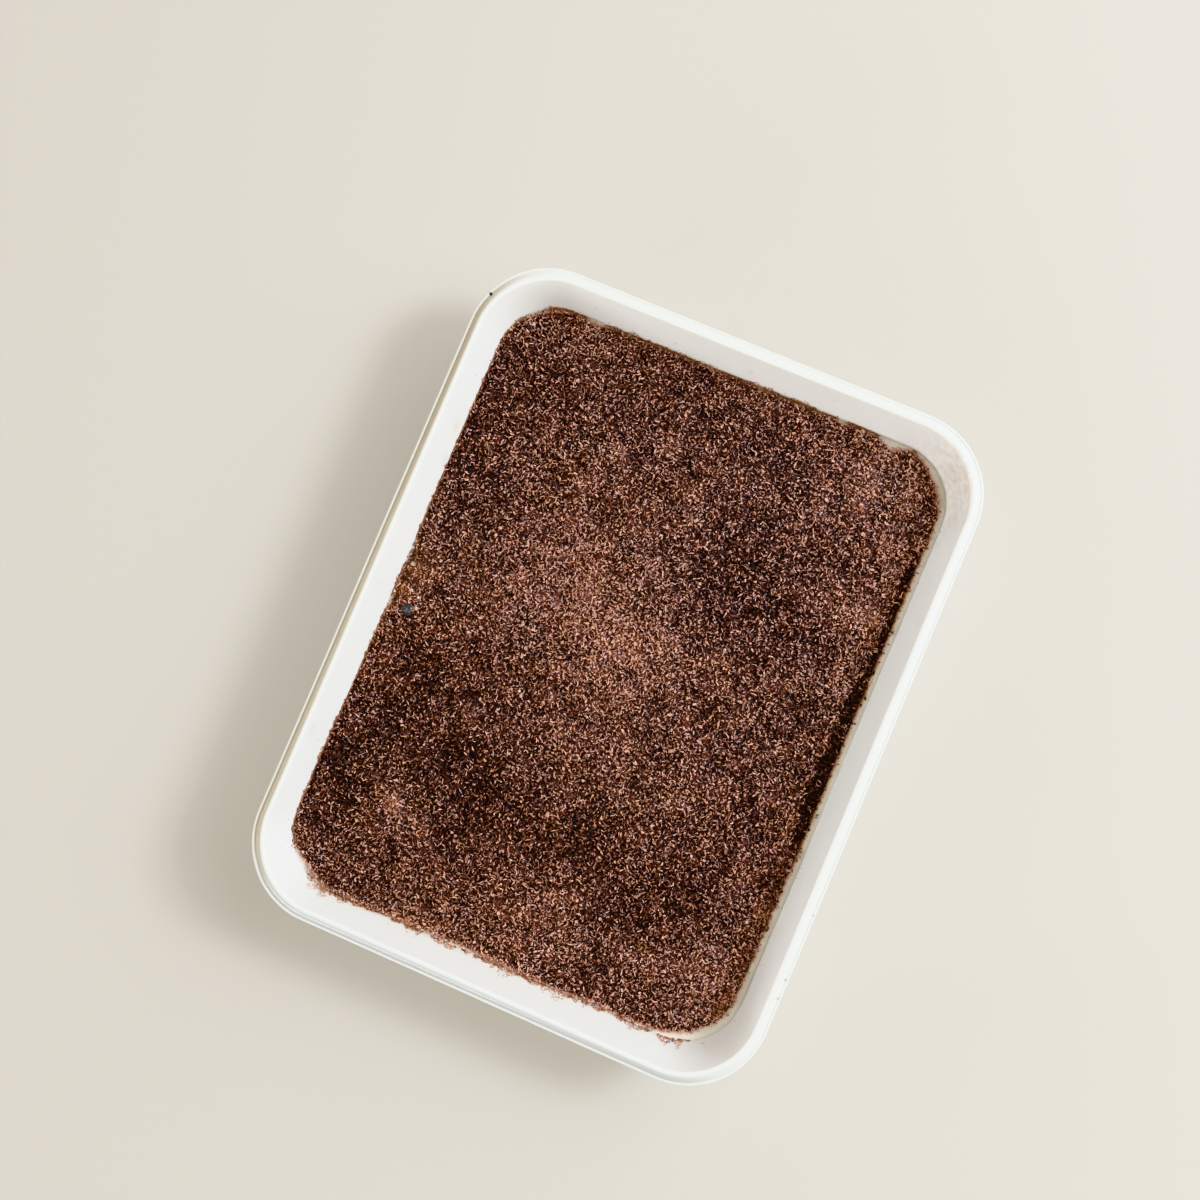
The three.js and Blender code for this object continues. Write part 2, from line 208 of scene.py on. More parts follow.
# Stretches of the edge where clean cream shows, in millimetres: x, y, radius, how clean
BARE_CREAM = (
    (49.5, 94, 4, 0.8),
    (33, 94, 3, 0.5),
    (-47, 94, 3, 0.5),
    (-72, -2, 9, 0.4),
    (30, -95, 30, 0.2),
    (66, -88, 9, 0.6),
    (67, 88, 9, 0.3),
)

# Marks on the rim, in millimetres: x, y, radius, depth, how bare the steel is
NICKS = (
    (-77.0, 87.2, 0.55, 0.25, 1.0),
    (79.3, 62.0, 0.4, 0.2, 0.35),
    (79.2, 46.0, 0.4, 0.2, 0.3),
    (78.9, -42.6, 0.35, 0.15, 0.3),
    (78.6, -62.4, 0.4, 0.18, 0.45),
    (78.5, -68.0, 0.45, 0.2, 0.35),
    (8.9, 100.9, 0.9, -0.25, 0.0),
)

# How high the food has stained the wall, in millimetres, on its right, left, far and near sides
STAIN_REACHES = (2.4, 0.4, 1.6, 3.2)

# How far the stain has already faded where it meets the food, on the same sides
STAIN_STARTS = (0.9, 0.3, 0.5, 0.3)

# How much further it has faded where the cream is bared
BARED_FADE = 0.5

# How much painted shade lies on the rim's outer slope, on its right, left, far and near sides
SLOPE_SHADE_BY_SIDE = (0.05, 0.95, 0.05, 0.85)

# How brown that painted shade is, on the same sides: the brown is a painted reflection of the shaded floor
SLOPE_SHADE_WARMTH = (0.3, 1.0, 0.3, 0.1)

# Faint brown rubs on the inner wall, and painted shade in its far right corner
# In millimetres: x, y, height, radius, strength
RUBS_AND_SHADE = (
    (-73.0, 48.2, 22.3, 2.2, 0.5),
    (-72.4, 37.7, 20.3, 1.6, 0.4),
    (-75.0, -51.6, 29.0, 1.8, 0.35),
    (72.3, 84.0, 24.7, 5.0, 0.55),
    (73.4, 79.7, 24.6, 5.0, 0.45),
    # Painted shade: the far right corner of the wall, which faces away from the key light
    (71.0, 91.0, 26.0, 13.0, 0.65),
    (2.1, 96.3, 23.9, 0.8, 0.4),
    (28.5, 97.4, 27.0, 0.8, 0.4),
)


# Settings

class TraySettings(bpy.types.PropertyGroup):
    """The tray's sizes and colours"""
    corner_radius: FloatProperty(
        name="Corner radius", description="Radius of the rim's corners, at its outer edge",
        default=24.3 * MM, unit="LENGTH")
    corner_tightening: FloatProperty(
        name="Corner tightening", description="Share of an inset that comes off the corner radius",
        default=0.75, subtype="FACTOR")
    sheet: FloatProperty(
        name="Sheet", description="Thickness of the steel with its enamel",
        default=1.2 * MM, unit="LENGTH")
    bead_radius: FloatProperty(
        name="Bead radius", description="Radius of the rolled rim",
        default=2 * MM, unit="LENGTH")
    wall_lean: FloatProperty(
        name="Wall lean", description="How far the wall leans out from upright",
        default=math.radians(16.5), subtype="ANGLE", unit="ROTATION")
    floor_fillet: FloatProperty(
        name="Floor fillet", description="Inner radius between floor and wall",
        default=7 * MM, unit="LENGTH")
    wobble: FloatProperty(
        name="Wobble", description="How unevenly the rim runs",
        default=0.14 * MM, unit="LENGTH")
    enamel: FloatVectorProperty(
        name="Enamel", description="Colour of the enamel",
        default=(0.88, 0.893, 0.876), subtype="COLOR")
    # Colour of the rubs, and of the painted shade in the wall's far right corner
    rub_and_shade: FloatVectorProperty(
        name="Rub", description="Colour of the brown rubs",
        default=(0.52, 0.38, 0.25), subtype="COLOR")
    stain: FloatVectorProperty(
        name="Stain", description="Colour of the wall's stain where it meets the food",
        default=(0.30, 0.125, 0.055), subtype="COLOR")
    pale_stain: FloatVectorProperty(
        name="Pale stain", description="Colour of the wall's stain further up",
        default=(0.70, 0.50, 0.33), subtype="COLOR")
    # Painted shade on the rim's outer slope, where it is brown: a painted reflection of the shaded floor
    shaded_slope: FloatVectorProperty(
        name="Worn slope", description="Colour of the wear on the rim's outer slope",
        default=(0.42, 0.36, 0.26), subtype="COLOR")
    # Painted shade on the rim's outer slope, where it isn't brown
    grey: FloatVectorProperty(
        name="Grey wear", description="Colour of the wear where it isn't brown",
        default=(0.50, 0.52, 0.52), subtype="COLOR")
    steel: FloatVectorProperty(
        name="Bare steel", description="Colour of a chip's steel",
        default=(0.012, 0.010, 0.010), subtype="COLOR")


class CreamSettings(bpy.types.PropertyGroup):
    """The cream's level and colours, and the lump's"""
    level: FloatProperty(
        name="Level", description="Mean height of the cream's top",
        default=17.2 * MM, unit="LENGTH")
    cream: FloatVectorProperty(
        name="Cream", description="Colour of the clean cream",
        default=(0.95, 0.90, 0.81), subtype="COLOR")
    stained: FloatVectorProperty(
        name="Stained cream", description="Colour where some cocoa has soaked in",
        default=(0.68, 0.39, 0.22), subtype="COLOR")
    soaked: FloatVectorProperty(
        name="Soaked cream", description="Colour where cocoa and coffee have soaked right in",
        default=(0.22, 0.074, 0.032), subtype="COLOR")
    lump: FloatVectorProperty(
        name="Lump", description="Colour of the dark lump near the left edge",
        default=(0.045, 0.044, 0.046), subtype="COLOR")


class ChocolateSettings(bpy.types.PropertyGroup):
    """The bed's depth, the chocolate's colours and the seed"""
    depth: FloatProperty(
        name="Depth", description="Mean depth of the bed of grated chocolate",
        default=1.7 * MM, unit="LENGTH")
    cell: FloatProperty(
        name="Grain cell", description="Step of the grid that the bed's core is made on",
        default=0.6 * MM, unit="LENGTH")
    shade_cool: FloatVectorProperty(
        name="Cool shade", description="Darkest chocolate, on the purple side",
        default=(0.011, 0.0065, 0.008), subtype="COLOR")
    shade_warm: FloatVectorProperty(
        name="Warm shade", description="Darkest chocolate, on the orange side",
        default=(0.015, 0.006, 0.0045), subtype="COLOR")
    middle_cool: FloatVectorProperty(
        name="Cool middle", description="Chocolate of middling tone, on the purple side",
        default=(0.142, 0.0585, 0.055), subtype="COLOR")
    middle_warm: FloatVectorProperty(
        name="Warm middle", description="Chocolate of middling tone, on the orange side",
        default=(0.225, 0.068, 0.041), subtype="COLOR")
    light_cool: FloatVectorProperty(
        name="Cool light", description="Palest chocolate, on the purple side",
        default=(0.70, 0.43, 0.375), subtype="COLOR")
    light_warm: FloatVectorProperty(
        name="Warm light", description="Palest chocolate, on the orange side",
        default=(0.83, 0.465, 0.31), subtype="COLOR")
    gold_shade: FloatVectorProperty(
        name="Gold shade", description="Dark shavings where cream tints them",
        default=(0.13, 0.038, 0.016), subtype="COLOR")
    gold: FloatVectorProperty(
        name="Gold", description="Pale shavings where cream tints them",
        default=(0.82, 0.42, 0.22), subtype="COLOR")
    seed: IntProperty(
        name="Seed", description="Start of every random draw for the loose pieces", default=7)


class StageSettings(bpy.types.PropertyGroup):
    """The floor's colour and the camera's place"""
    floor: FloatVectorProperty(
        name="Floor", description="Colour of the floor",
        default=(0.60, 0.568, 0.52), subtype="COLOR")
    camera_place: FloatVectorProperty(
        name="Camera place", description="Where the camera stands",
        default=(23.85 * MM, -0.74 * MM, 464.4 * MM), subtype="TRANSLATION", unit="LENGTH")
    camera_target: FloatVectorProperty(
        name="Camera target", description="Where the camera looks",
        default=(-11.87 * MM, 16.46 * MM, 31 * MM), subtype="TRANSLATION", unit="LENGTH")
    camera_turn: FloatProperty(
        name="Camera turn", description="How far the camera is turned from the tray's long side",
        default=math.radians(23.0), subtype="ANGLE", unit="ROTATION")
    lens: FloatProperty(
        name="Lens", description="Focal length in millimetres, on a sensor 36 mm wide", default=45)


# Arrays

def ease(t):
    """The curve 3t² - 2t³ of t held between 0 and 1."""
    t = np.clip(t, 0, 1)
    return t * t * (3 - 2 * t)


LATTICE = 512


def noise(x, y, cell, seed):
    """Smooth noise from -1 to 1: random values on a square lattice, eased between its points."""
    values = np.random.default_rng(seed).uniform(-1, 1, (LATTICE, LATTICE))
    u, v = np.broadcast_arrays(x / cell, y / cell)
    column = np.floor(u).astype(int)
    row = np.floor(v).astype(int)
    across = ease(u - column)
    along = ease(v - row)

    def corner(i, j):
        return values[(column + i) % LATTICE, (row + j) % LATTICE]

    near = corner(0, 0) * (1 - across) + corner(1, 0) * across
    far = corner(0, 1) * (1 - across) + corner(1, 1) * across
    return near * (1 - along) + far * along


def hills(x, y, table):
    """Sum of bell curves, each a height times exp(-(distance / radius)²), from a table in millimetres."""
    total = np.zeros(np.broadcast(x, y).shape)
    for hill_x, hill_y, radius, height in table:
        away = (x / MM - hill_x) ** 2 + (y / MM - hill_y) ** 2
        total = total + height * np.exp(-away / radius ** 2)
    return total


def arc(centre, radius, start, end, steps):
    """Points of a circle from one angle to another: the centre plus radius times (cosine, sine)."""
    angle = np.linspace(start, end, steps + 1)
    return np.stack([centre[0] + radius * np.cos(angle), centre[1] + radius * np.sin(angle)], 1)


def line(start, end, steps):
    """Even points from start to end, without either."""
    share = np.linspace(0, 1, steps + 1)[1:-1, None]
    return np.asarray(start) * (1 - share) + np.asarray(end) * share


def ring_faces(rings, columns):
    """Quads between rings that follow each other, each ring closed round."""
    here = np.arange(rings - 1)[:, None] * columns
    above = here + columns
    column = np.arange(columns)[None, :]
    after = (column + 1) % columns
    corners = [here + column, here + after, above + after, above + column]
    return np.stack(corners, -1).reshape(-1, 4)


def fan_faces(start, columns, pole, upwards):
    """Triangles from a ring to its pole, facing the way that the ring runs counterclockwise."""
    column = np.arange(columns)
    after = (column + 1) % columns
    first, second = (column, after) if upwards else (after, column)
    return np.stack([start + first, start + second, np.full(columns, pole)], 1)


def skin(rings, bottom, top):
    """Points and faces of a closed skin: a pole, rings of shape (rings, columns, 3), and a pole."""
    count, columns = rings.shape[:2]
    points = np.concatenate([rings.reshape(-1, 3), [bottom, top]])
    faces = [
        ring_faces(count, columns),
        fan_faces(0, columns, count * columns, False),
        fan_faces((count - 1) * columns, columns, count * columns + 1, True),
    ]
    return points, faces


def by_side(out, values):
    """A value for a direction, from those of the right, left, far and near sides. Each counts by the
    square of how far the direction faces that side, and the squares add up to 1."""
    across, along = out[..., 0], out[..., 1]
    faced = [np.maximum(across, 0), np.maximum(-across, 0), np.maximum(along, 0), np.maximum(-along, 0)]
    return np.stack(faced, -1) ** 2 @ np.array(values)


def turned(heading, pitch, roll):
    """Rotation matrices by piece: a roll about X, then a pitch about Y, then a heading about Z."""
    ch, sh = np.cos(heading), np.sin(heading)
    cp, sp = np.cos(pitch), np.sin(pitch)
    cr, sr = np.cos(roll), np.sin(roll)
    rows = [
        [ch * cp, ch * sp * sr - sh * cr, ch * sp * cr + sh * sr],
        [sh * cp, sh * sp * sr + ch * cr, sh * sp * cr - ch * sr],
        [-sp, cp * sr, cp * cr],
    ]
    return np.moveaxis(np.array([[np.broadcast_to(c, ch.shape) for c in row] for row in rows]), 2, 0)


# The tray and the food as formulas

class TrayForm:
    """The tray's surfaces. An inset is how far a rounded rectangle lies inside the rim's outer edge, and
    a share is a share of the way round, counterclockwise from the right end of the far corner on the
    right."""

    # The rim's waves: the circle that they are read on, and each one's cell on it, height and seed
    WAVE_CIRCLE = 0.11
    WAVES_INWARDS = ((0.045, 0.35, 51), (0.012, 0.15, 52))
    WAVES_DOWN = ((0.05, 0.35, 53), (0.010, 0.15, 54))

    def __init__(self):
        settings = bpy.context.scene.tiramisu_tray
        self.corner = settings.corner_radius
        self.tightening = settings.corner_tightening
        self.sheet = settings.sheet
        self.bead = settings.bead_radius
        self.lean = settings.wall_lean
        self.fillet = settings.floor_fillet
        self.wobble = settings.wobble
        self.wall_top = np.array([
            self.bead + self.bead * math.cos(self.lean),
            TRAY_HEIGHT - self.bead + self.bead * math.sin(self.lean),
        ])
        turn = self.corner * QUARTER_TURN
        short = TRAY_WIDTH - 2 * self.corner
        long = TRAY_LENGTH - 2 * self.corner
        self.bounds = np.cumsum([0] + [turn, short, turn, long] * 2)
        self.girth = self.bounds[-1]

    def outline(self, inset):
        """Half width, half length and corner radius of the rounded rectangle at an inset."""
        return TRAY_WIDTH / 2 - inset, TRAY_LENGTH / 2 - inset, self.corner - self.tightening * inset

    def around(self, share, inset):
        """x, y and the outward direction at a share of the way round. On a corner the point lies on a
        quarter circle about the corner's centre, and between corners on the straight line that joins
        them."""
        share, inset = np.broadcast_arrays(share, inset)
        place = (share % 1) * self.girth
        stretch = np.clip(np.searchsorted(self.bounds, place, side="right") - 1, 0, 7)
        part = (place - self.bounds[stretch]) / (self.bounds[stretch + 1] - self.bounds[stretch])
        corner = stretch // 2
        turning = stretch % 2 == 0
        angle = (corner + np.where(turning, part, 1)) * QUARTER_TURN
        out = np.stack([np.cos(angle), np.sin(angle)], -1)
        half_width, half_length, radius = self.outline(inset)
        right = np.array([1, -1, -1, 1])
        far = np.array([1, 1, -1, -1])

        def on_corner(which):
            x = right[which] * (half_width - radius) + radius * out[..., 0]
            y = far[which] * (half_length - radius) + radius * out[..., 1]
            return np.stack([x, y], -1)

        here = on_corner(corner)
        ahead = on_corner((corner + 1) % 4)
        flat = here + (ahead - here) * np.where(turning, 0, part)[..., None]
        return flat[..., 0], flat[..., 1], out

    def share_of(self, x, y):
        """The share of the way round that passes nearest to a point."""
        share = np.linspace(0, 1, 8192, endpoint=False)
        rim_x, rim_y, _ = self.around(share, self.bead)
        return share[np.argmin((rim_x - x) ** 2 + (rim_y - y) ** 2)]

    def shares(self, count, crowded=(), crowd=4.0, reach=0.004):
        """Shares of the way round, evenly spaced but closer together near the crowded ones."""
        fine = np.linspace(0, 1, 16384)
        density = np.ones_like(fine)
        for share in crowded:
            away = np.abs((fine - share + 0.5) % 1 - 0.5)
            density += crowd * np.exp(-(away / reach) ** 2)
        passed = np.concatenate([[0], np.cumsum((density[1:] + density[:-1]) / 2)])
        return np.interp(np.arange(count) / count * passed[-1], passed, fine)

    def waves(self, share, table):
        """How far the rim wobbles at a share of the way round: half the wobble plus noise on a circle."""
        x = np.cos(share * 2 * math.pi) * self.WAVE_CIRCLE
        y = np.sin(share * 2 * math.pi) * self.WAVE_CIRCLE
        return self.wobble * (0.5 + sum(height * noise(x, y, cell, seed) for cell, height, seed in table))

    def depth(self, x, y, inset):
        """How far a point lies inside the rounded rectangle at an inset, and the way out of it. Past a
        corner's centre both ways that is the radius less the distance to the centre, and else the
        distance to a side."""
        half_width, half_length, radius = self.outline(inset)
        across = np.abs(x) - (half_width - radius)
        along = np.abs(y) - (half_length - radius)
        cornered = (across > 0) & (along > 0)
        sideways = across > along
        reach = np.where(cornered, np.hypot(across, along), np.maximum(across, along))
        safe = np.where(cornered, np.maximum(reach, 1e-9), 1)
        out_x = np.where(cornered, across / safe, sideways) * np.sign(x)
        out_y = np.where(cornered, along / safe, ~sideways) * np.sign(y)
        return radius - reach, np.stack([out_x, out_y], -1)

    def wall_inset(self, z, offset=0.0):
        """Inset of the wall's inner face at a height, or of a face parallel to it further in. The face is
        a straight line that leaves the bead's circle as its tangent."""
        top_inset, top_z = self.wall_top
        return top_inset + (top_z - z) * math.tan(self.lean) + offset / math.cos(self.lean)

    def fillet_points(self, offset, steps):
        """(inset, height) of the arc between floor and wall, outwards, at an offset from the inner
        face."""
        height = self.sheet + self.fillet
        centre = (self.wall_inset(height, self.fillet), height)
        sweep = QUARTER_TURN - self.lean
        return arc(centre, self.fillet - offset, -QUARTER_TURN, -QUARTER_TURN - sweep, steps)

    def hold_in(self, points, gap):
        """Pieces, each a row of points, that pass the wall's inner face are moved back in whole, by the
        point that lies furthest past it, to leave a gap."""
        inset = self.wall_inset(points[..., 2], gap)
        depth, out = self.depth(points[..., 0], points[..., 1], inset)
        worst = np.argmin(depth, axis=1)
        row = np.arange(len(points))
        push = out[row, worst] * np.minimum(depth[row, worst], 0)[:, None]
        points[..., :2] += push[:, None]
        return points


class FoodForm:
    """The cream's top and the bed of chocolate over it."""

    # The bed's drop towards its edge, its width, and how far inside the edge points are drawn in with it
    EDGE_DROP = 0.6 * MM
    EDGE_WIDTH = 3 * MM
    EDGE_REACH = 12 * MM
    # The core's least depth, the loose layer on it, and how soon the core ends past the edge
    LEAST_BED = 0.55 * MM
    LOOSE_LAYER = 0.75 * MM
    CORE_END = 0.5 * MM
    # The pale edge's width, and how far the edge is drawn in before cream shows, and then in full
    PALE_EDGE = 0.6 * MM
    BARED_FROM = 0.7 * MM
    BARED_OVER = 0.8 * MM
    # The furrow's upper edge beside the right wall, in millimetres: y, x
    FURROW_LINE = (
        (-34, 67.6), (-22, 66.0), (-8, 64.8), (16, 65.2), (24, 66.4), (32, 67.2), (46, 67.3), (58, 66.8),
        (66, 68.4),
    )
    # How soon it falls to its depth, how much painted shade darkens it, where it starts and ends, and how
    # softly
    FURROW_FALL = 0.9 * MM
    FURROW_DEPTH = 1.2 * MM
    FURROW_SHADE = 0.8
    FURROW_FROM = -28 * MM
    FURROW_TO = 64 * MM
    FURROW_FADE = 6 * MM
    # How the furrow's upper edge winds: cells and heights in millimetres, and a seed
    WINDING = ((7, 0.5, 44), (1.8, 0.35, 45))

    # Relief of the bed's core: size of its grains and how high they stand, in millimetres, and a seed
    RELIEF = ((6.0, 0.28, 11), (2.6, 0.38, 12), (1.3, 0.26, 13), (0.7, 0.16, 14))
    # Raggedness of the bed's edge, likewise
    RAGGED = ((4.5, 0.25, 21), (1.4, 0.35, 22))
    # Broad unevenness of the shavings' colour, likewise
    CLOUDS = ((16, 0.07, 31), (7, 0.10, 32), (3, 0.13, 33))
    HUES = ((16, 0.10, 41), (5, 0.15, 42), (2, 0.3, 43))

    def __init__(self, tray):
        self.tray = tray
        self.level = bpy.context.scene.tiramisu_cream.level
        self.bed = bpy.context.scene.tiramisu_chocolate.depth
        self.bed_inset = tray.wall_inset(self.level + self.bed, 0.3 * MM)

    def cream_height(self, x, y):
        """The level plus the swells."""
        return self.level + hills(x, y, SWELLS) * MM

    def layered(self, x, y, table):
        """Sum of noises, each of its own cell and height."""
        return sum(height * noise(x, y, cell * MM, seed) for cell, height, seed in table)

    def relief(self, x, y):
        """How far the core's grains stand up or lie low."""
        return self.layered(x, y, self.RELIEF) * MM

    def furrow(self, x, y):
        """A groove beside the right wall, from 0 to 1: it falls past its upper edge, which winds a
        little, and fades at both ends."""
        start = ease((y - self.FURROW_FROM) / (2 * self.FURROW_FADE) + 0.5)
        end = ease((y - self.FURROW_TO) / (2 * self.FURROW_FADE) + 0.5)
        line_y, line_x = np.array(self.FURROW_LINE).T * MM
        past = x - np.interp(y, line_y, line_x) + self.layered(0 * y, y, self.WINDING) * MM
        return start * (1 - end) * ease(past / self.FURROW_FALL)

    def bed_height(self, x, y):
        """The cream's height plus the bed's depth, less the drop towards the edge and the furrow."""
        depth, _ = self.tray.depth(x, y, self.bed_inset)
        drop = self.EDGE_DROP * (1 - ease(depth / self.EDGE_WIDTH))
        return self.cream_height(x, y) + self.bed - drop - self.FURROW_DEPTH * self.furrow(x, y)

    def edge_pull(self, x, y, out):
        """How far the bed's edge is drawn in: the gap of its side, the bites and a raggedness."""
        ragged = np.abs(self.layered(x, y, self.RAGGED))
        return (by_side(out, EDGE_GAPS) + ragged + hills(x, y, BITES)) * MM

    def drawn_in(self, x, y):
        """Points moved in with the edge, the less the further they lie inside it."""
        depth, out = self.tray.depth(x, y, self.bed_inset)
        pull = self.edge_pull(x, y, out) * (1 - ease(depth / self.EDGE_REACH))
        return x - out[..., 0] * pull, y - out[..., 1] * pull

    def inside_edge(self, x, y):
        """How far a point lies inside the ragged edge of the bed."""
        depth, out = self.tray.depth(x, y, self.bed_inset)
        return depth - self.edge_pull(x, y, out)

    def core_height(self, x, y):
        """The top of the bed's core: the bed's height less the loose layer, plus the relief, but no lower
        than the least bed over the cream. Past the bed's edge it falls to the cream."""
        on_bed = ease(1 + self.inside_edge(x, y) / self.CORE_END)
        height = self.bed_height(x, y) - self.LOOSE_LAYER + self.relief(x, y)
        cream = self.cream_height(x, y)
        return cream + on_bed * np.maximum(height - cream, self.LEAST_BED)

    def bared(self, x, y):
        """How bare the cream is at the wall, 0 to 1: from how far the bed's edge is drawn in."""
        _, out = self.tray.depth(x, y, self.bed_inset)
        return ease((self.edge_pull(x, y, out) - self.BARED_FROM) / self.BARED_OVER)

    def wall_line(self, x, y):
        """How high the food stands at the wall: the bed's height, and the cream's where that is bared."""
        cream = self.cream_height(x, y)
        return cream + (self.bed_height(x, y) - cream) * (1 - self.bared(x, y))

    def paleness(self, x, y):
        """How pale the shavings are, about 0: patches, the edge and broad unevenness, less painted shade
        in the furrow.
        """
        _, out = self.tray.depth(x, y, self.bed_inset)
        inside = np.maximum(self.inside_edge(x, y), 0)
        edge = by_side(out, EDGE_TONES) * np.exp(-(inside / self.PALE_EDGE) ** 2)
        # Painted shade in the furrow, where the wall and the bank shade it
        shade = self.FURROW_SHADE * self.furrow(x, y)
        return hills(x, y, PATCHES) + self.layered(x, y, self.CLOUDS) + edge - shade

    def tone(self, x, y, base, patches, relief):
        """A tone: the base, plus shares of the paleness and of the relief in millimetres. The relief's
        share is painted shade, darker in the bed's hollows.
        """
        return base + patches * self.paleness(x, y) + relief * self.relief(x, y) / MM

    def tint(self, x, y):
        """From purple, at 0, to orange, at 1: half way, plus the drifts and unevenness."""
        return 0.5 + (hills(x, y, DRIFTS) + self.layered(x, y, self.HUES))

    def gold(self, x, y):
        """How golden the shavings are, from 0."""
        return hills(x, y, GOLD)


# Nodes

def add_node(tree, kind, inputs=None, **settings):
    """A node with its settings, and its inputs set to numbers or linked to sockets."""
    node = tree.nodes.new(kind)
    for name, value in settings.items():
        setattr(node, name, value)
    for name, value in (inputs or {}).items():
        if isinstance(value, bpy.types.NodeSocket):
            tree.links.new(value, node.inputs[name])
        else:
            node.inputs[name].default_value = value
    return node


def maths(tree, operation, first, second=0.0, clamp=False):
    """The result of a Math node on two numbers or sockets."""
    inputs = {0: first, 1: second}
    return add_node(tree, "ShaderNodeMath", inputs, operation=operation, use_clamp=clamp).outputs[0]


def blended(tree, share, first, second):
    """A colour that goes from the first to the second by a share."""
    node = add_node(tree, "ShaderNodeMix", data_type="RGBA")
    for index, value in ((0, share), (6, first), (7, second)):
        if isinstance(value, bpy.types.NodeSocket):
            tree.links.new(value, node.inputs[index])
        else:
            node.inputs[index].default_value = value if index == 0 else (*value, 1)
    return node.outputs[2]


def clamped(tree, value):
    """A number held between 0 and 1."""
    return maths(tree, "ADD", value, 0.0, clamp=True)


def attribute(tree, name):
    """A value that the piece's points carry."""
    return add_node(tree, "ShaderNodeAttribute", attribute_name=name).outputs["Fac"]


def object_place(tree):
    """The place on the piece, in metres."""
    return add_node(tree, "ShaderNodeTexCoord").outputs["Object"]


def new_group(name, inputs, outputs):
    """An empty shader group with sockets: (name, kind, default) for inputs, (name, kind) for outputs."""
    group = bpy.data.node_groups.new(name, "ShaderNodeTree")
    for label, kind, default in inputs:
        socket = group.interface.new_socket(label, in_out="INPUT", socket_type=kind)
        socket.default_value = default
    for label, kind in outputs:
        group.interface.new_socket(label, in_out="OUTPUT", socket_type=kind)
    start = group.nodes.new("NodeGroupInput")
    end = group.nodes.new("NodeGroupOutput")
    return group, start.outputs, end.inputs


def mottle_group():
    """Noise at a grain size in millimetres, spread about 0 by a strength."""
    found = bpy.data.node_groups.get("mottle")
    if found:
        return found
    group, start, end = new_group(
        "mottle",
        [("Vector", "NodeSocketVector", (0, 0, 0)), ("Grain", "NodeSocketFloat", 1.0),
         ("Strength", "NodeSocketFloat", 1.0)],
        [("Value", "NodeSocketFloat")],
    )
    scale = maths(group, "DIVIDE", 1 / MM, start["Grain"])
    texture = add_node(
        group, "ShaderNodeTexNoise",
        {"Vector": start["Vector"], "Scale": scale, "Detail": 2.0, "Roughness": 0.6})
    centred = maths(group, "SUBTRACT", texture.outputs[0], 0.5)
    spread = maths(group, "MULTIPLY", centred, start["Strength"])
    group.links.new(spread, end["Value"])
    return group


def mottle(tree, vector, grain, strength):
    """Noise about 0, from the group of that name."""
    node = add_node(tree, "ShaderNodeGroup", node_tree=mottle_group())
    tree.links.new(vector, node.inputs["Vector"])
    node.inputs["Grain"].default_value = grain
    node.inputs["Strength"].default_value = strength
    return node.outputs["Value"]


def new_material(name, **sockets):
    """A material with a Principled shader whose own sockets take the numbers."""
    material = bpy.data.materials.new(name)
    material.use_nodes = True
    tree = material.node_tree
    shader = tree.nodes["Principled BSDF"]
    for label, value in sockets.items():
        shader.inputs[label.replace("_", " ")].default_value = value
    return material, tree, shader


def bump(tree, shader, height, distance):
    """Makes a shader's surface look rough by a height, times a distance in metres."""
    node = add_node(tree, "ShaderNodeBump", {"Height": height, "Distance": distance, "Strength": 1.0})
    tree.links.new(node.outputs["Normal"], shader.inputs["Normal"])


# The wall's stain: its least and mean reach, how its pale part falls, and how its dark part does
REACH_LEAST = 0.3
REACH_MEAN = 0.75
PALE_FALL = 0.5
PALE_POWER = 2.5
DARK_FALL = 1.9
DARK_STRENGTH = 0.6


def enamel_material():
    """White enamel: a slow orange peel, brown rubs with painted shade in the far right corner, a stain
    above the food, painted shade and reflection on the rim's outer slope, and bare steel.
    """
    colours = bpy.context.scene.tiramisu_tray
    material, tree, shader = new_material("white_enamel", Roughness=0.16, IOR=1.5)
    place = object_place(tree)
    tone = maths(tree, "ADD", mottle(tree, place, 18, 0.05), 1.0)
    plain = add_node(tree, "ShaderNodeMix", data_type="RGBA", blend_type="MULTIPLY", clamp_result=False)
    plain.inputs[0].default_value = 1
    plain.inputs[6].default_value = (*colours.enamel, 1)
    tree.links.new(tone, plain.inputs[7])
    # Brown rubs, with painted shade in the wall's far right corner
    broken = maths(tree, "ADD", mottle(tree, place, 2.2, 1.6), 0.6, clamp=True)
    rub_and_shade = maths(tree, "MULTIPLY", attribute(tree, "rub_and_shade"), broken, clamp=True)
    rubbed_and_shaded = blended(tree, rub_and_shade, plain.outputs[2], colours.rub_and_shade)
    uneven = maths(tree, "ADD", mottle(tree, place, 7, 1.4), mottle(tree, place, 0.9, 0.8))
    reach = maths(tree, "MAXIMUM", maths(tree, "ADD", uneven, REACH_MEAN), REACH_LEAST)
    fade = maths(tree, "DIVIDE", attribute(tree, "above_food"), reach)
    pale = maths(tree, "SUBTRACT", 1.0, maths(tree, "MULTIPLY", fade, PALE_FALL), clamp=True)
    stained = blended(tree, maths(tree, "POWER", pale, PALE_POWER), rubbed_and_shaded, colours.pale_stain)
    dark = maths(tree, "SUBTRACT", 1.0, maths(tree, "MULTIPLY", fade, DARK_FALL), clamp=True)
    stained = blended(tree, maths(tree, "MULTIPLY", dark, DARK_STRENGTH), stained, colours.stain)
    # Painted shade and reflection on the rim's outer slope: grey shade, brown where it reflects the shaded
    # floor
    painted_slope_shade = blended(tree, attribute(tree, "slope_shade_warmth"), colours.grey, colours.shaded_slope)
    shaded_slope = blended(tree, attribute(tree, "painted_slope_shade"), stained, painted_slope_shade)
    bared = blended(tree, attribute(tree, "bare"), shaded_slope, colours.steel)
    tree.links.new(bared, shader.inputs["Base Color"])
    peel = maths(tree, "ADD", mottle(tree, place, 5.0, 1.0), mottle(tree, place, 1.4, 0.2))
    bump(tree, shader, peel, 0.05 * MM)
    return material


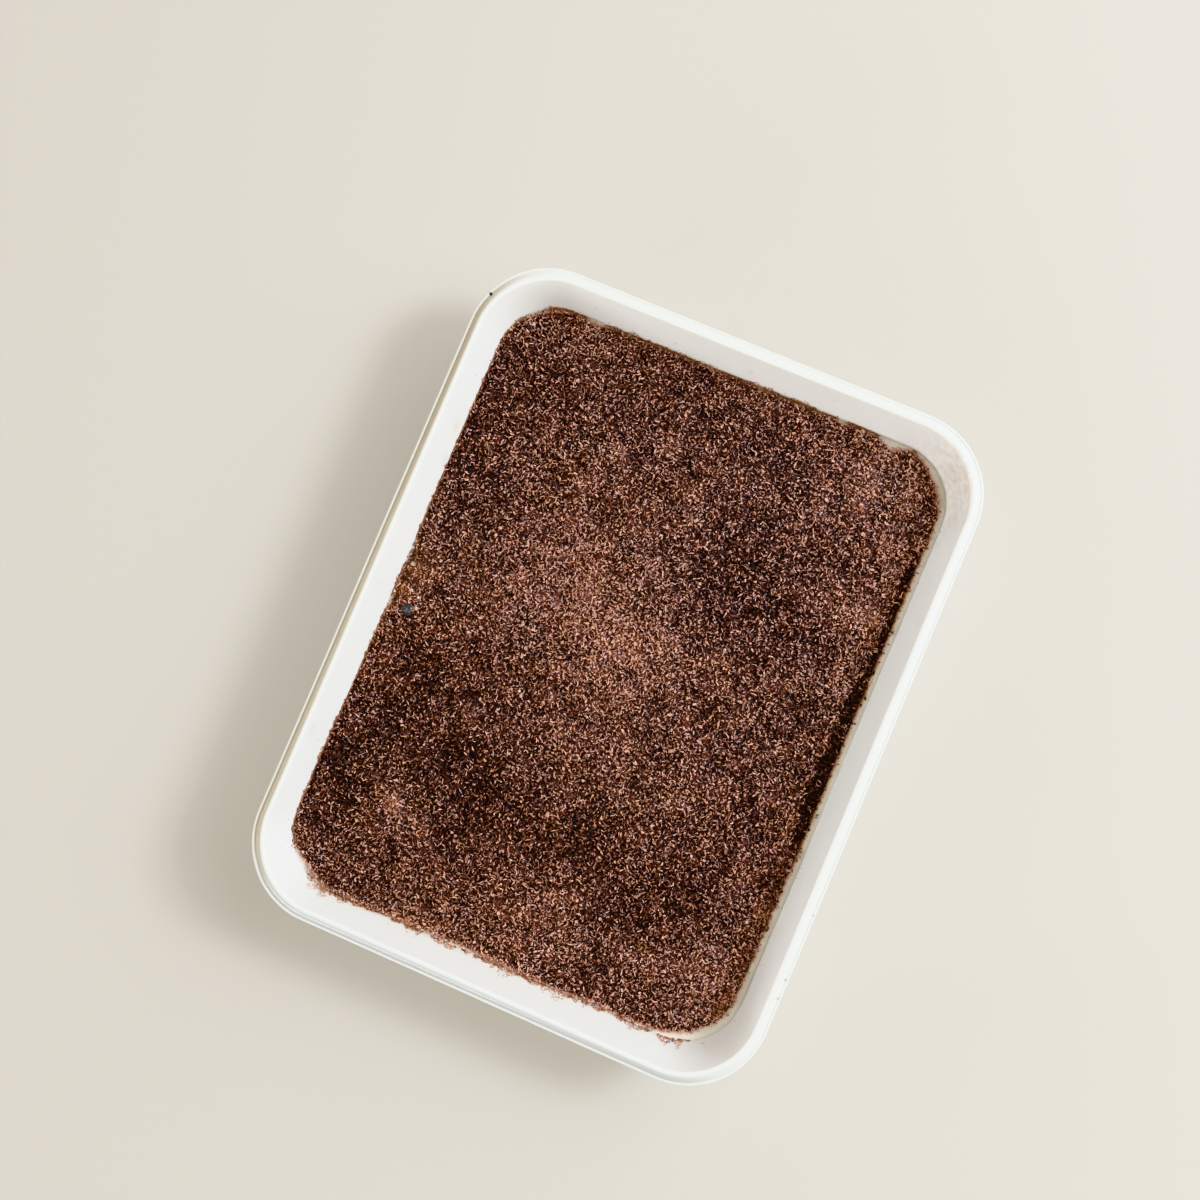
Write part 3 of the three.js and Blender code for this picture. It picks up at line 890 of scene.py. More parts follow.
def chocolate_group():
    """Chocolate's colour from a tone, 0 dark to 1 pale, a tint, 0 purple to 1 orange, and some gold."""
    found = bpy.data.node_groups.get("chocolate_tone")
    if found:
        return found
    colours = bpy.context.scene.tiramisu_chocolate
    number = "NodeSocketFloat"
    group, start, end = new_group(
        "chocolate_tone",
        [("Tone", number, 0.5), ("Tint", number, 0.5), ("Gold", number, 0.0)],
        [("Color", "NodeSocketColor")],
    )
    tone = clamped(group, start["Tone"])
    rise = maths(group, "POWER", maths(group, "MULTIPLY", tone, 2.0, clamp=True), 1.3)
    shine = maths(group, "SUBTRACT", maths(group, "MULTIPLY", tone, 2.0), 1.0, clamp=True)
    tint = clamped(group, start["Tint"])
    shade = blended(group, tint, colours.shade_cool, colours.shade_warm)
    middle = blended(group, tint, colours.middle_cool, colours.middle_warm)
    light = blended(group, tint, colours.light_cool, colours.light_warm)
    plain = blended(group, shine, blended(group, rise, shade, middle), light)
    gilt = blended(group, tone, colours.gold_shade, colours.gold)
    group.links.new(blended(group, clamped(group, start["Gold"]), plain, gilt), end["Color"])
    return group


def chocolate_material(name, grain, roughness):
    """Chocolate coloured by the piece's own tone and tint, with a fine mottle and a rough break."""
    material, tree, shader = new_material(name, Roughness=roughness, IOR=1.45)
    place = object_place(tree)
    tone = maths(tree, "ADD", attribute(tree, "tone"), mottle(tree, place, grain, 0.35))
    node = add_node(tree, "ShaderNodeGroup", node_tree=chocolate_group())
    tree.links.new(tone, node.inputs["Tone"])
    tree.links.new(attribute(tree, "tint"), node.inputs["Tint"])
    tree.links.new(attribute(tree, "gold"), node.inputs["Gold"])
    tree.links.new(node.outputs["Color"], shader.inputs["Base Color"])
    bump(tree, shader, mottle(tree, place, grain, 1.0), 0.12 * MM)
    return material


def shavings_material():
    """The loose shavings' chocolate, made once."""
    name = "grated_chocolate_shavings"
    return bpy.data.materials.get(name) or chocolate_material(name, 0.3, 0.40)


def dessert_cream():
    """Cream from clean to soaked by the piece's own soak, broken up by a mottle, made once."""
    found = bpy.data.materials.get("mascarpone_cream")
    if found:
        return found
    colours = bpy.context.scene.tiramisu_cream
    material, tree, shader = new_material("mascarpone_cream", Roughness=0.45, IOR=1.45)
    place = object_place(tree)
    share = maths(tree, "ADD", attribute(tree, "soak"), mottle(tree, place, 1.1, 0.3), clamp=True)
    first = maths(tree, "MULTIPLY", share, 2.0, clamp=True)
    second = maths(tree, "SUBTRACT", maths(tree, "MULTIPLY", share, 2.0), 1.0, clamp=True)
    stained = blended(tree, first, colours.cream, colours.stained)
    tree.links.new(blended(tree, second, stained, colours.soaked), shader.inputs["Base Color"])
    bump(tree, shader, mottle(tree, place, 0.8, 1.0), 0.1 * MM)
    return material


def lump_material():
    """The dark lump's colour, with streaks four times as pale."""
    material, tree, shader = new_material("dark_lump", Roughness=0.35, IOR=1.45)
    dark = tuple(bpy.context.scene.tiramisu_cream.lump)
    pale = tuple(4 * part for part in dark)
    streaks = clamped(tree, mottle(tree, object_place(tree), 0.7, 3.0))
    tree.links.new(blended(tree, streaks, dark, pale), shader.inputs["Base Color"])
    return material


# Pieces

def forms():
    """The tray's form and the food's."""
    tray = TrayForm()
    return tray, FoodForm(tray)


def draws(order):
    """Random draws that follow from the seed and a number of their own."""
    return np.random.default_rng((bpy.context.scene.tiramisu_chocolate.seed, order))


def make_piece(name, points, faces, material, replaces=(), smooth=True, values=None):
    """A piece from whole arrays: points in metres, faces as triangles or quads, and values by point."""
    mesh = bpy.data.meshes.new(name)
    mesh.vertices.add(len(points))
    mesh.vertices.foreach_set("co", np.asarray(points, np.float32).ravel())
    sizes = np.concatenate([np.full(len(group), group.shape[1]) for group in faces])
    corners = np.concatenate([group.ravel() for group in faces])
    mesh.loops.add(len(corners))
    mesh.loops.foreach_set("vertex_index", corners.astype(np.int32))
    mesh.polygons.add(len(sizes))
    mesh.polygons.foreach_set("loop_start", np.concatenate([[0], np.cumsum(sizes)[:-1]]).astype(np.int32))
    mesh.polygons.foreach_set("use_smooth", np.full(len(sizes), smooth))
    mesh.update(calc_edges=True)
    for label, numbers in (values or {}).items():
        layer = mesh.attributes.new(label, "FLOAT", "POINT")
        layer.data.foreach_set("value", np.asarray(numbers, np.float32).ravel())
    mesh.materials.append(material)
    piece = bpy.data.objects.new(name, mesh)
    bpy.context.scene.collection.objects.link(piece)
    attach(piece, "root")
    if replaces:
        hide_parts(*replaces)
    return piece


def make_loose(name, points, faces, tone, tint, gold):
    """Loose chocolate: points by shaving, and tone, tint and gold for all, by shaving or by point."""
    values = {"tone": tone, "tint": tint, "gold": gold}
    make_piece(
        name, points.reshape(-1, 3), [faces], shavings_material(), smooth=False,
        values={label: np.broadcast_to(numbers, points.shape[:2]) for label, numbers in values.items()})


# The rim: radii of its crest, shoulder and lip, the slope's tilt and foot, and the lip's drop and end
CREST_RADIUS = 0.9 * MM
SHOULDER_RADIUS = 2.0 * MM
SLOPE_TILT = math.radians(48)
SLOPE_FOOT = 0.88 * MM
LIP_RADIUS = 0.4 * MM
LIP_DROP = 1.35 * MM
LIP_END = math.radians(20)

# The crevice under the roll: how far inwards and up it goes, and how far down the wall it starts
CREVICE = np.array([0.22, 0.3]) * MM
CREVICE_DROP = 0.3 * MM

# How many columns of points the tray has round it
TRAY_COLUMNS = 640

# Nicks lie on the rim's upper half, and fade in over this height
NICK_FADE = 0.3 * MM

# The slope's painted shade: where it ends and how softly, how much the lip has, and how soon it grows from
# there
SLOPE_SHADE_END = 3.3 * MM
SLOPE_SHADE_FADE = 1.3 * MM
LIP_SHADE = 0.4
LIP_FADE = 0.5 * MM

# The range that the height above the food is held in, in shares of the stain's reach
STAIN_RANGE = (-5, 20)


def tray_profile(tray):
    """(inset, height) from the foot's edge up the outer wall, round the rolled rim and down the inner
    wall to the floor, and which of these points face the inside. The roll's under half is a half circle,
    with a crevice where its end meets the wall. Outside, a thin lip runs round the rim, and a slope leads
    to the crest."""
    centre = (tray.bead, TRAY_HEIGHT - tray.bead)
    meeting = tray.lean - math.acos((tray.bead - tray.sheet) / tray.bead)
    outer = tray.fillet_points(-tray.sheet, 10)
    under = arc(centre, tray.bead, meeting, -math.pi, 14)
    down_wall = outer[-1] - under[0]
    below = under[0] + down_wall / np.linalg.norm(down_wall) * CREVICE_DROP
    lip = arc((LIP_RADIUS, TRAY_HEIGHT - LIP_DROP), LIP_RADIUS, math.pi, LIP_END, 8)
    crest_inset = tray.bead + (tray.bead - CREST_RADIUS) * (1 - math.sin(tray.lean)) / math.cos(tray.lean)
    shoulder_centre = (crest_inset, TRAY_HEIGHT - SHOULDER_RADIUS)
    shoulder = arc(shoulder_centre, SHOULDER_RADIUS, QUARTER_TURN + SLOPE_TILT, QUARTER_TURN, 8)
    down_slope = np.array([-math.cos(SLOPE_TILT), -math.sin(SLOPE_TILT)])
    slope_foot = shoulder[0] + down_slope * (shoulder[0][0] - SLOPE_FOOT) / math.cos(SLOPE_TILT)
    inner = arc((crest_inset, TRAY_HEIGHT - CREST_RADIUS), CREST_RADIUS, QUARTER_TURN, tray.lean, 14)
    fillet = tray.fillet_points(0, 10)[::-1]
    outside = np.concatenate([
        outer, line(outer[-1], below, 10), [below, under[0] + CREVICE], under[1:], lip, [slope_foot],
        line(slope_foot, shoulder[0], 4), shoulder,
    ])
    profile = np.concatenate([outside, inner[1:], line(inner[-1], fillet[0], 16), fillet])
    return profile, np.arange(len(profile)) >= len(outside)


def nicked(tray, profile, points, out):
    """The points with the rim's nicks in them, and how bare the steel is. Each nick moves the surface
    against its normal by its depth times a bell curve of the distance, and bares the curve's middle."""
    slope = np.gradient(profile, axis=0)
    slope = slope / np.linalg.norm(slope, axis=1, keepdims=True)
    level = np.broadcast_to(slope[:, None, :1], (*out.shape[:2], 1))
    normal = np.concatenate([out * slope[:, None, 1:], level], -1)
    upper = ease((points[..., 2] - TRAY_HEIGHT + tray.bead) / NICK_FADE)
    dent = np.zeros(upper.shape)
    bare = np.zeros(upper.shape)
    for spot_x, spot_y, radius, depth, bareness in NICKS:
        away = np.hypot(points[..., 0] - spot_x * MM, points[..., 1] - spot_y * MM)
        bell = np.exp(-(away / (radius * MM)) ** 2) * upper
        dent += depth * MM * bell
        bare = np.maximum(bare, bareness * ease(bell * 2 - 0.4))
    points = points - normal * dent[..., None]
    points[..., 2] = np.minimum(points[..., 2], TRAY_HEIGHT)
    return points, bare


def rubs_and_shade(points):
    """How strong the brown rubs and the painted corner shade are: at each point the strongest one's bell
    curve of the distance.
    """
    strongest = np.zeros(points.shape[:-1])
    for spot_x, spot_y, spot_z, radius, strength in RUBS_AND_SHADE:
        away = np.linalg.norm(points - np.array([spot_x, spot_y, spot_z]) * MM, axis=-1)
        strongest = np.maximum(strongest, strength * np.exp(-(away / (radius * MM)) ** 2))
    return strongest


def above_food(food, points, out):
    """How far the wall's stain has faded: the height above the food over the stain's reach on that side,
    plus what has faded already where the stain meets the food."""
    x, y, z = points[..., 0], points[..., 1], points[..., 2]
    above = (z - food.wall_line(x, y)) / MM
    above = above / by_side(out, STAIN_REACHES) + by_side(out, STAIN_STARTS) + BARED_FADE * food.bared(x, y)
    return np.clip(above, *STAIN_RANGE)


def slope_shade_share(tray, profile):
    """How much of the painted shade each point of the profile has: all of it on the slope, less on the lip,
    none on the crest's inner side and none on the bead's lower half."""
    inset, height = profile.T
    shaded_slope = ease((SLOPE_SHADE_END - inset) / SLOPE_SHADE_FADE)
    shaded_slope = shaded_slope * (LIP_SHADE + (1 - LIP_SHADE) * ease((inset - LIP_RADIUS) / LIP_FADE))
    return shaded_slope * (height > TRAY_HEIGHT - tray.bead)


def build_tray():
    """The tray: its profile carried round the rounded rectangle. The rim wobbles a little inwards and
    down, the more the higher a point lies: by the square of its share of the height."""
    tray, food = forms()
    profile, inside = tray_profile(tray)
    crowded = [tray.share_of(nick[0] * MM, nick[1] * MM) for nick in NICKS]
    share = tray.shares(TRAY_COLUMNS, crowded)[None, :]
    rise = np.clip(profile[:, 1:] / TRAY_HEIGHT, 0, 1) ** 2
    inset = profile[:, :1] + tray.waves(share, tray.WAVES_INWARDS) * rise
    height = profile[:, 1:] - tray.waves(share, tray.WAVES_DOWN) * rise
    x, y, out = tray.around(share, inset)
    points, bare = nicked(tray, profile, np.stack([x, y, height], -1), out)
    values = {
        "rub_and_shade": rubs_and_shade(points) * inside[:, None],
        "bare": bare,
        "above_food": np.where(inside[:, None], above_food(food, points, out), STAIN_RANGE[1]),
        # Painted shade on the rim's outer slope, brown on the left as a painted reflection of the floor
        "painted_slope_shade": slope_shade_share(tray, profile)[:, None] * by_side(out, SLOPE_SHADE_BY_SIDE),
        "slope_shade_warmth": by_side(out, SLOPE_SHADE_WARMTH),
    }
    points, faces = skin(points, (0, 0, 0), (0, 0, tray.sheet))
    make_piece(
        "enamel_tray_shell", points, faces, enamel_material(), ["enamel_tray"],
        values={label: np.append(numbers.ravel(), [0, 0]) for label, numbers in values.items()})


# How far beyond the bed's edge cocoa soaks into the cream, how sharply that ends, and how uneven it is
SOAK_REACH = 0.62 * MM
SOAK_POWER = 1.6
SOAK_UNEVEN = 0.35

# The cream's rise where it meets the wall, in millimetres, how far in that reaches, and its clearance
CREAM_RISE = 0.55
RISE_REACH = 0.6 * MM
CREAM_GAP = 0.04 * MM

# Lumps along the cream's edge: cells and heights in millimetres, and a seed, and how soon they start
CREAM_LUMPS = ((2.0, 0.16, 62), (0.8, 0.08, 63))
LUMPS_FROM = 0.5 * MM

# Rings of the cream's top and of the core's underside, as shares of the way out from the middle
TOP_RINGS = np.concatenate([[0.9995, 0.998], np.linspace(0.996, 0.93, 14), np.linspace(0.9, 0.06, 12)])
UNDER_RINGS = np.array([0.994, 0.97, 0.85, 0.7, 0.55, 0.4, 0.25, 0.1])


def build_cream():
    """The cream: the wall's inner profile carried round to its uneven level, and a top of rings drawn in
    to the middle, with soft lumps along the edge that shows. Its soak is e to the power of minus the
    distance beyond the bed's edge to a power, less where the cream is clean."""
    tray, food = forms()
    share = tray.shares(760)[None, :]
    x, y, _ = tray.around(share, tray.wall_inset(food.level, CREAM_GAP))
    edge_z = food.cream_height(x, y) + (CREAM_RISE + 0.1 * noise(x, y, 2.2 * MM, 61)) * MM
    side = tray.fillet_points(CREAM_GAP, 7)
    side[:, 1] = np.maximum(side[:, 1], CREAM_FOOT)
    foot_x, foot_y, _ = tray.around(share, side[:, :1])
    foot = np.stack([foot_x, foot_y, np.broadcast_to(side[:, 1:], foot_x.shape)], -1)
    climb = np.linspace(0, 1, 7)[1:, None]
    wall_z = side[-1, 1] * (1 - climb) + edge_z * climb
    wall_x, wall_y, _ = tray.around(share, tray.wall_inset(wall_z, CREAM_GAP))
    wall = np.stack([wall_x, wall_y, wall_z], -1)
    top_x, top_y = wall_x[-1] * TOP_RINGS[:, None], wall_y[-1] * TOP_RINGS[:, None]
    inwards = np.hypot(top_x - wall_x[-1], top_y - wall_y[-1])
    lumps = food.layered(top_x, top_y, CREAM_LUMPS) * ease(inwards / LUMPS_FROM)
    lumps = lumps + CREAM_RISE * np.exp(-inwards / RISE_REACH)
    top = np.stack([top_x, top_y, food.cream_height(top_x, top_y) + lumps * MM], -1)
    centre_z = float(food.cream_height(0.0, 0.0))
    points, faces = skin(np.concatenate([foot, wall, top]), (0, 0, CREAM_FOOT), (0, 0, centre_z))
    x, y = points[:, 0], points[:, 1]
    beyond = np.maximum(-food.inside_edge(x, y), 0) / SOAK_REACH
    beyond = beyond * (1 + SOAK_UNEVEN * noise(x, y, 3 * MM, 64))
    soak = np.exp(-beyond ** SOAK_POWER) * (1 - hills(x, y, BARE_CREAM))
    make_piece(
        "cream_body", points, faces, dessert_cream(), ["cream_filling"], values={"soak": soak})


# How far the core's points are shifted, as a share of a cell, and how far up or down, in millimetres
CORE_SHIFT = 0.2
CORE_ROUGH = 0.12


def bed_rows(tray, food, cell):
    """How far up the tray each row of the bed's grid lies, and the half width that it spans: even steps
    between the corners, even turns round them."""
    half_width, half_length, radius = tray.outline(food.bed_inset)
    angle = np.linspace(0, QUARTER_TURN, round(radius * QUARTER_TURN / cell) + 1)[1:]
    straight = half_length - radius
    middle = np.linspace(-straight, straight, round(2 * straight / cell) + 1)
    cap = straight + radius * np.sin(angle)
    narrow = half_width - radius + radius * np.cos(angle)
    along = np.concatenate([-cap[::-1], middle, cap])
    span = np.concatenate([narrow[::-1], np.full(len(middle), half_width), narrow])
    return along, span


def core_skin(food, top):
    """Points and faces of the core: its top's grid, and rings from the grid's rim over a side halfway
    down to an underside on the cream."""
    index = np.arange(top[..., 0].size).reshape(top.shape[:2])
    corners = [index[:-1, :-1], index[:-1, 1:], index[1:, 1:], index[1:, :-1]]
    faces = np.stack(corners, -1).reshape(-1, 4)
    rim = np.concatenate([index[0, :-1], index[:-1, -1], index[-1, :0:-1], index[:0:-1, 0]])
    edge = top.reshape(-1, 3)[rim]
    side = edge * np.array([0.997, 0.998, 1])
    side[:, 2] = (edge[:, 2] + food.cream_height(edge[:, 0], edge[:, 1])) / 2
    under_x, under_y = edge[:, 0] * UNDER_RINGS[:, None], edge[:, 1] * UNDER_RINGS[:, None]
    under_z = food.cream_height(under_x, under_y) - 0.1 * MM
    rings = np.concatenate([side[None], np.stack([under_x, under_y, under_z], -1)])
    points = np.concatenate([top.reshape(-1, 3), rings.reshape(-1, 3), [(0, 0, food.level)]])
    order = np.concatenate([rim, np.arange(index.size, len(points) - 1)])
    below = order[ring_faces(len(rings) + 1, len(rim))][:, ::-1]
    pole = len(points) - 1
    return points, [faces, below, fan_faces(pole - len(rim), len(rim), pole, False)]


def build_core():
    """The bed's core: a grid drawn in to the ragged edge, its height the bed's less the loose layer plus
    relief in four sizes of grain. Its tone is low: painted shade for the gaps between the shavings."""
    tray, food = forms()
    cell = bpy.context.scene.tiramisu_chocolate.cell
    along, span = bed_rows(tray, food, cell)
    across = np.linspace(-1, 1, round(2 * span.max() / cell) + 1)
    start_x = span[:, None] * across[None, :]
    x, y = food.drawn_in(start_x, np.broadcast_to(along[:, None], start_x.shape))
    rng = np.random.default_rng(81)
    x = x + rng.uniform(-CORE_SHIFT, CORE_SHIFT, x.shape) * cell
    y = y + rng.uniform(-CORE_SHIFT, CORE_SHIFT, y.shape) * cell
    rough = rng.uniform(-CORE_ROUGH, CORE_ROUGH, x.shape) * MM
    z = food.bed_height(x, y) - food.LOOSE_LAYER + food.relief(x, y) + rough
    z = np.maximum(z, food.cream_height(x, y) + food.LEAST_BED)
    # A low tone: painted shade for the dark gaps between the shavings above
    tone = food.tone(x, y, 0.10, 0.4, 0.4) + rng.normal(0, 0.14, x.shape)
    tint = food.tint(x, y) + rng.normal(0, 0.2, x.shape)
    points, faces = core_skin(food, np.stack([x, y, z], -1))
    hidden = np.zeros(len(points) - x.size)
    make_piece(
        "chocolate_core", points, faces, chocolate_material("packed_chocolate", 0.45, 0.6),
        ["grated_chocolate"], smooth=False,
        values={
            "tone": np.append(tone.ravel(), hidden + 0.3),
            "tint": np.append(tint.ravel(), hidden + 0.5),
            "gold": np.append(food.gold(x, y).ravel(), hidden),
        })


class Kind(NamedTuple):
    """One kind of loose shaving: how many, how many rings it has between its tips, ranges of its length,
    width, thickness (millimetres), bend (radians) and how far its middle lies above the core
    (millimetres), spreads of pitch and roll (radians), and its mean tone and tone's spread."""
    name: str
    count: int
    rings: int
    length: tuple
    width: tuple
    thickness: tuple
    bend: tuple
    lift: tuple
    pitch: float
    roll: float
    tone: float
    spread: float


# The low kinds have lower mean tones than the high ones: painted shade for the lower layer
KINDS = (
    Kind("grains_low", 30000, 1, (0.6, 1.4), (0.3, 0.6), (0.16, 0.3), (0.1, 1.2), (0.0, 0.5),
         0.5, 1.4, 0.28, 0.26),
    Kind("grains_high", 28000, 1, (0.6, 1.5), (0.2, 0.55), (0.14, 0.24), (0.1, 1.5), (0.3, 1.0),
         0.6, 1.4, 0.40, 0.30),
    Kind("slivers_low", 10000, 2, (0.8, 1.7), (0.3, 0.5), (0.14, 0.24), (0.4, 2.0), (0.1, 0.7),
         0.5, 1.2, 0.36, 0.28),
    Kind("slivers_high", 14000, 2, (0.8, 1.7), (0.2, 0.5), (0.12, 0.2), (0.4, 2.2), (0.4, 1.1),
         0.6, 1.1, 0.46, 0.32),
    Kind("flakes", 8000, 2, (0.8, 1.6), (0.5, 0.9), (0.12, 0.2), (0.1, 1.0), (0.2, 0.9),
         0.6, 1.6, 0.42, 0.28),
    Kind("curls_high", 5500, 4, (1.2, 2.4), (0.24, 0.42), (0.12, 0.18), (0.8, 3.0), (0.5, 1.15),
         0.5, 0.9, 0.50, 0.32),
)

# The kind that clings to the wall. Its lift isn't used.
FRINGE = Kind(
    "wall_fringe", 20000, 1, (0.5, 1.3), (0.22, 0.45), (0.12, 0.22), (0.2, 1.6), (0, 0),
    0.2, 1.2, 0.60, 0.22)

# How a shaving's section narrows to its ends, its twist's spread (radians), how ragged its corners are, and
# how much of the bend's height its middle line is lowered by
NARROWING = 1.5
TWIST = 0.5
SECTION_RANGE = (0.5, 1.35)
LOWERED = 0.6

# Corners of a shaving's section: across its thickness and across its width, each from -1 to 1
SECTION = np.array([(-1, -1), (1, -1), (0, 1)])

# How much paler than the shaving each corner of its section is, and its tips: paler torn edges, and a
# painted highlight along the third corner's ridge
SECTION_TONES = (-0.27, 0.02, 0.28)
TIP_TONE = -0.05

# How far inside the bed's edge a place has to lie, in millimetres, less a spill of up to so much, and the
# power that makes large spills rare
EDGE_KEPT = 0.15
EDGE_SPILL = 1.5
SPILL_POWER = 1.5

# A place is left out where the furrow passes a number drawn between these
FURROW_SHEDS = (0.7, 1.7)

# How much of a tone's chance goes both ways, and how much runs far to the pale side alone
CHANCE_EVEN = 0.6
CHANCE_PALE = 0.7

# Painted shade, darker lower down: how much a tone grows by millimetre above the core, the range of
# that, and the height that leaves it be
DEPTH_SHADE = 0.75
DEPTH_SHADE_RANGE = (-0.6, 1.0)
DEPTH_SHADE_MIDDLE = 0.35


def section_tones(rings):
    """How much paler each point of a shaving is than the shaving, partly as a painted highlight."""
    return np.array(SECTION_TONES * rings + (TIP_TONE,) * 2)


def shaving_points(rng, kind, count, scale=1.0):
    """Points of the shavings about their own middles, shape (count, rings * 3 + 2, 3). A middle line
    turns evenly through the bend over its length. Its section, a thin triangle, is widest in the middle,
    turns a little as it goes, and ends in a point at either tip."""
    def between(pair):
        return rng.uniform(pair[0], pair[1], (count, 1, 1))

    length = between(kind.length) * MM * scale
    width = between(kind.width) * MM * scale
    thickness = between(kind.thickness) * MM * scale
    bend = between(kind.bend) * rng.choice([-1, 1], (count, 1, 1))
    radius = length / bend
    share = ((np.arange(kind.rings) + 0.5) / kind.rings - 0.5)[None, :, None]
    full = np.sqrt(1 - (NARROWING * share) ** 2)
    angle = bend * share
    twist = rng.normal(0, TWIST, (count, 1, 1)) * share * 2
    ragged = rng.uniform(*SECTION_RANGE, (count, kind.rings, 3))
    across = SECTION[None, None, :, 0] * thickness / 2 * full * ragged
    up = SECTION[None, None, :, 1] * width / 2 * full * ragged
    out = across * np.cos(twist) - up * np.sin(twist)
    rise = across * np.sin(twist) + up * np.cos(twist)
    sagitta = radius * (1 - np.cos(bend / 2)) * LOWERED

    def on_line(angle):
        return radius * np.sin(angle), radius * (1 - np.cos(angle)) - sagitta

    x, y = on_line(angle)
    body = np.stack([x - out * np.sin(angle), y + out * np.cos(angle), rise], -1).reshape(count, -1, 3)
    tips = [np.concatenate([*on_line(bend * end), bend * 0], -1) for end in (-0.5, 0.5)]
    return np.concatenate([body, *tips], 1)


def shaving_faces(count, rings):
    """Triangles of the shavings: three sides between rings and three to each tip."""
    size = rings * 3 + 2
    corner = np.arange(3)
    after = (corner + 1) % 3
    sides = []
    for ring in range(rings - 1):
        here, there = ring * 3, ring * 3 + 3
        sides.append(np.stack([here + corner, here + after, there + after], 1))
        sides.append(np.stack([here + corner, there + after, there + corner], 1))
    sides.append(np.stack([corner, np.full(3, size - 2), after], 1))
    last = (rings - 1) * 3
    sides.append(np.stack([last + corner, last + after, np.full(3, size - 1)], 1))
    one = np.concatenate(sides)
    return (one[None] + (np.arange(count) * size)[:, None, None]).reshape(-1, 3)


def random_turns(rng, kind, count):
    """Rotation matrices: any heading, and a pitch and a roll about level by the kind's spreads."""
    heading = rng.uniform(0, 2 * math.pi, count)
    return turned(heading, rng.normal(0, kind.pitch, count), rng.normal(0, kind.roll, count))


def rotated(matrices, points):
    """Each piece's points turned by its own matrix."""
    return np.einsum("nij,nkj->nki", matrices, points)


def scatter(rng, food, count):
    """About that many places spread evenly over the bed: one drawn within each cell of a square grid.
    Past the bed's edge the places get fewer, and in the furrow some are left out."""
    half_width, half_length, _ = food.tray.outline(food.bed_inset)
    cell = math.sqrt(4 * half_width * half_length / count)
    columns, rows = round(2 * half_width / cell), round(2 * half_length / cell)
    x, y = np.meshgrid(np.arange(columns), np.arange(rows), indexing="ij")
    x = (x.ravel() + rng.random(x.size)) / columns * 2 * half_width - half_width
    y = (y.ravel() + rng.random(y.size)) / rows * 2 * half_length - half_length
    spill = EDGE_SPILL * rng.random(x.size) ** SPILL_POWER
    kept = food.inside_edge(x, y) > (EDGE_KEPT - spill) * MM
    kept &= food.furrow(x, y) < rng.uniform(*FURROW_SHEDS, x.size)
    return x[kept], y[kept]


def build_shavings():
    """Loose shavings of every kind over the core, turned at random. Their tones follow the bed's patches;
    painted shade makes them darker in the bed's hollows and lower above the core. They also vary by
    chance, now and then far to the pale side."""
    tray, food = forms()
    for order, kind in enumerate(KINDS):
        rng = draws(order)
        x, y = scatter(rng, food, kind.count)
        count = len(x)
        points = shaving_points(rng, kind, count)
        points = rotated(random_turns(rng, kind, count), points)
        base = food.core_height(x, y)
        middle = np.stack([x, y, base + rng.uniform(*kind.lift, count) * MM], -1)
        points = tray.hold_in(points + middle[:, None], 0.02 * MM)
        chance = CHANCE_EVEN * rng.normal(0, 1, count) + CHANCE_PALE * (rng.exponential(1, count) - 1)
        tone = food.tone(x, y, kind.tone, 0.65, 0.3) + kind.spread * chance
        tint = food.tint(x, y) + rng.normal(0, 0.3, count)
        # Painted shade: each point darker the lower it lies above the core
        risen = np.clip((points[..., 2] - base[:, None]) / MM, *DEPTH_SHADE_RANGE) - DEPTH_SHADE_MIDDLE
        tones = tone[:, None] + DEPTH_SHADE * risen + section_tones(kind.rings)
        faces = shaving_faces(count, kind.rings)
        make_loose(kind.name, points, faces, tones, tint[:, None], food.gold(x, y)[:, None])


# How thickly shavings cling to the wall's right, left, far and near sides, and how many mm they climb
FRINGE_SHARES = (0.20, 0.35, 0.35, 0.85)
FRINGE_CLIMBS = (1.0, 1.5, 2.0, 6.2)

# How far they start below the food's line
FRINGE_START = 0.3 * MM

# The clumps that they lie in: cells in millimetres, heights and seeds, their middle height and its range
CLUMPS = ((5, 0.4, 101), (1.4, 0.7, 102))
CLUMP_MIDDLE = 0.5
CLUMP_RANGE = (0.08, 1.4)

# Above bared cream shavings cling on the near side alone: how far a direction faces that side where this
# starts, and how much further where it is complete
NEAR_FROM = 0.85
NEAR_OVER = 0.12


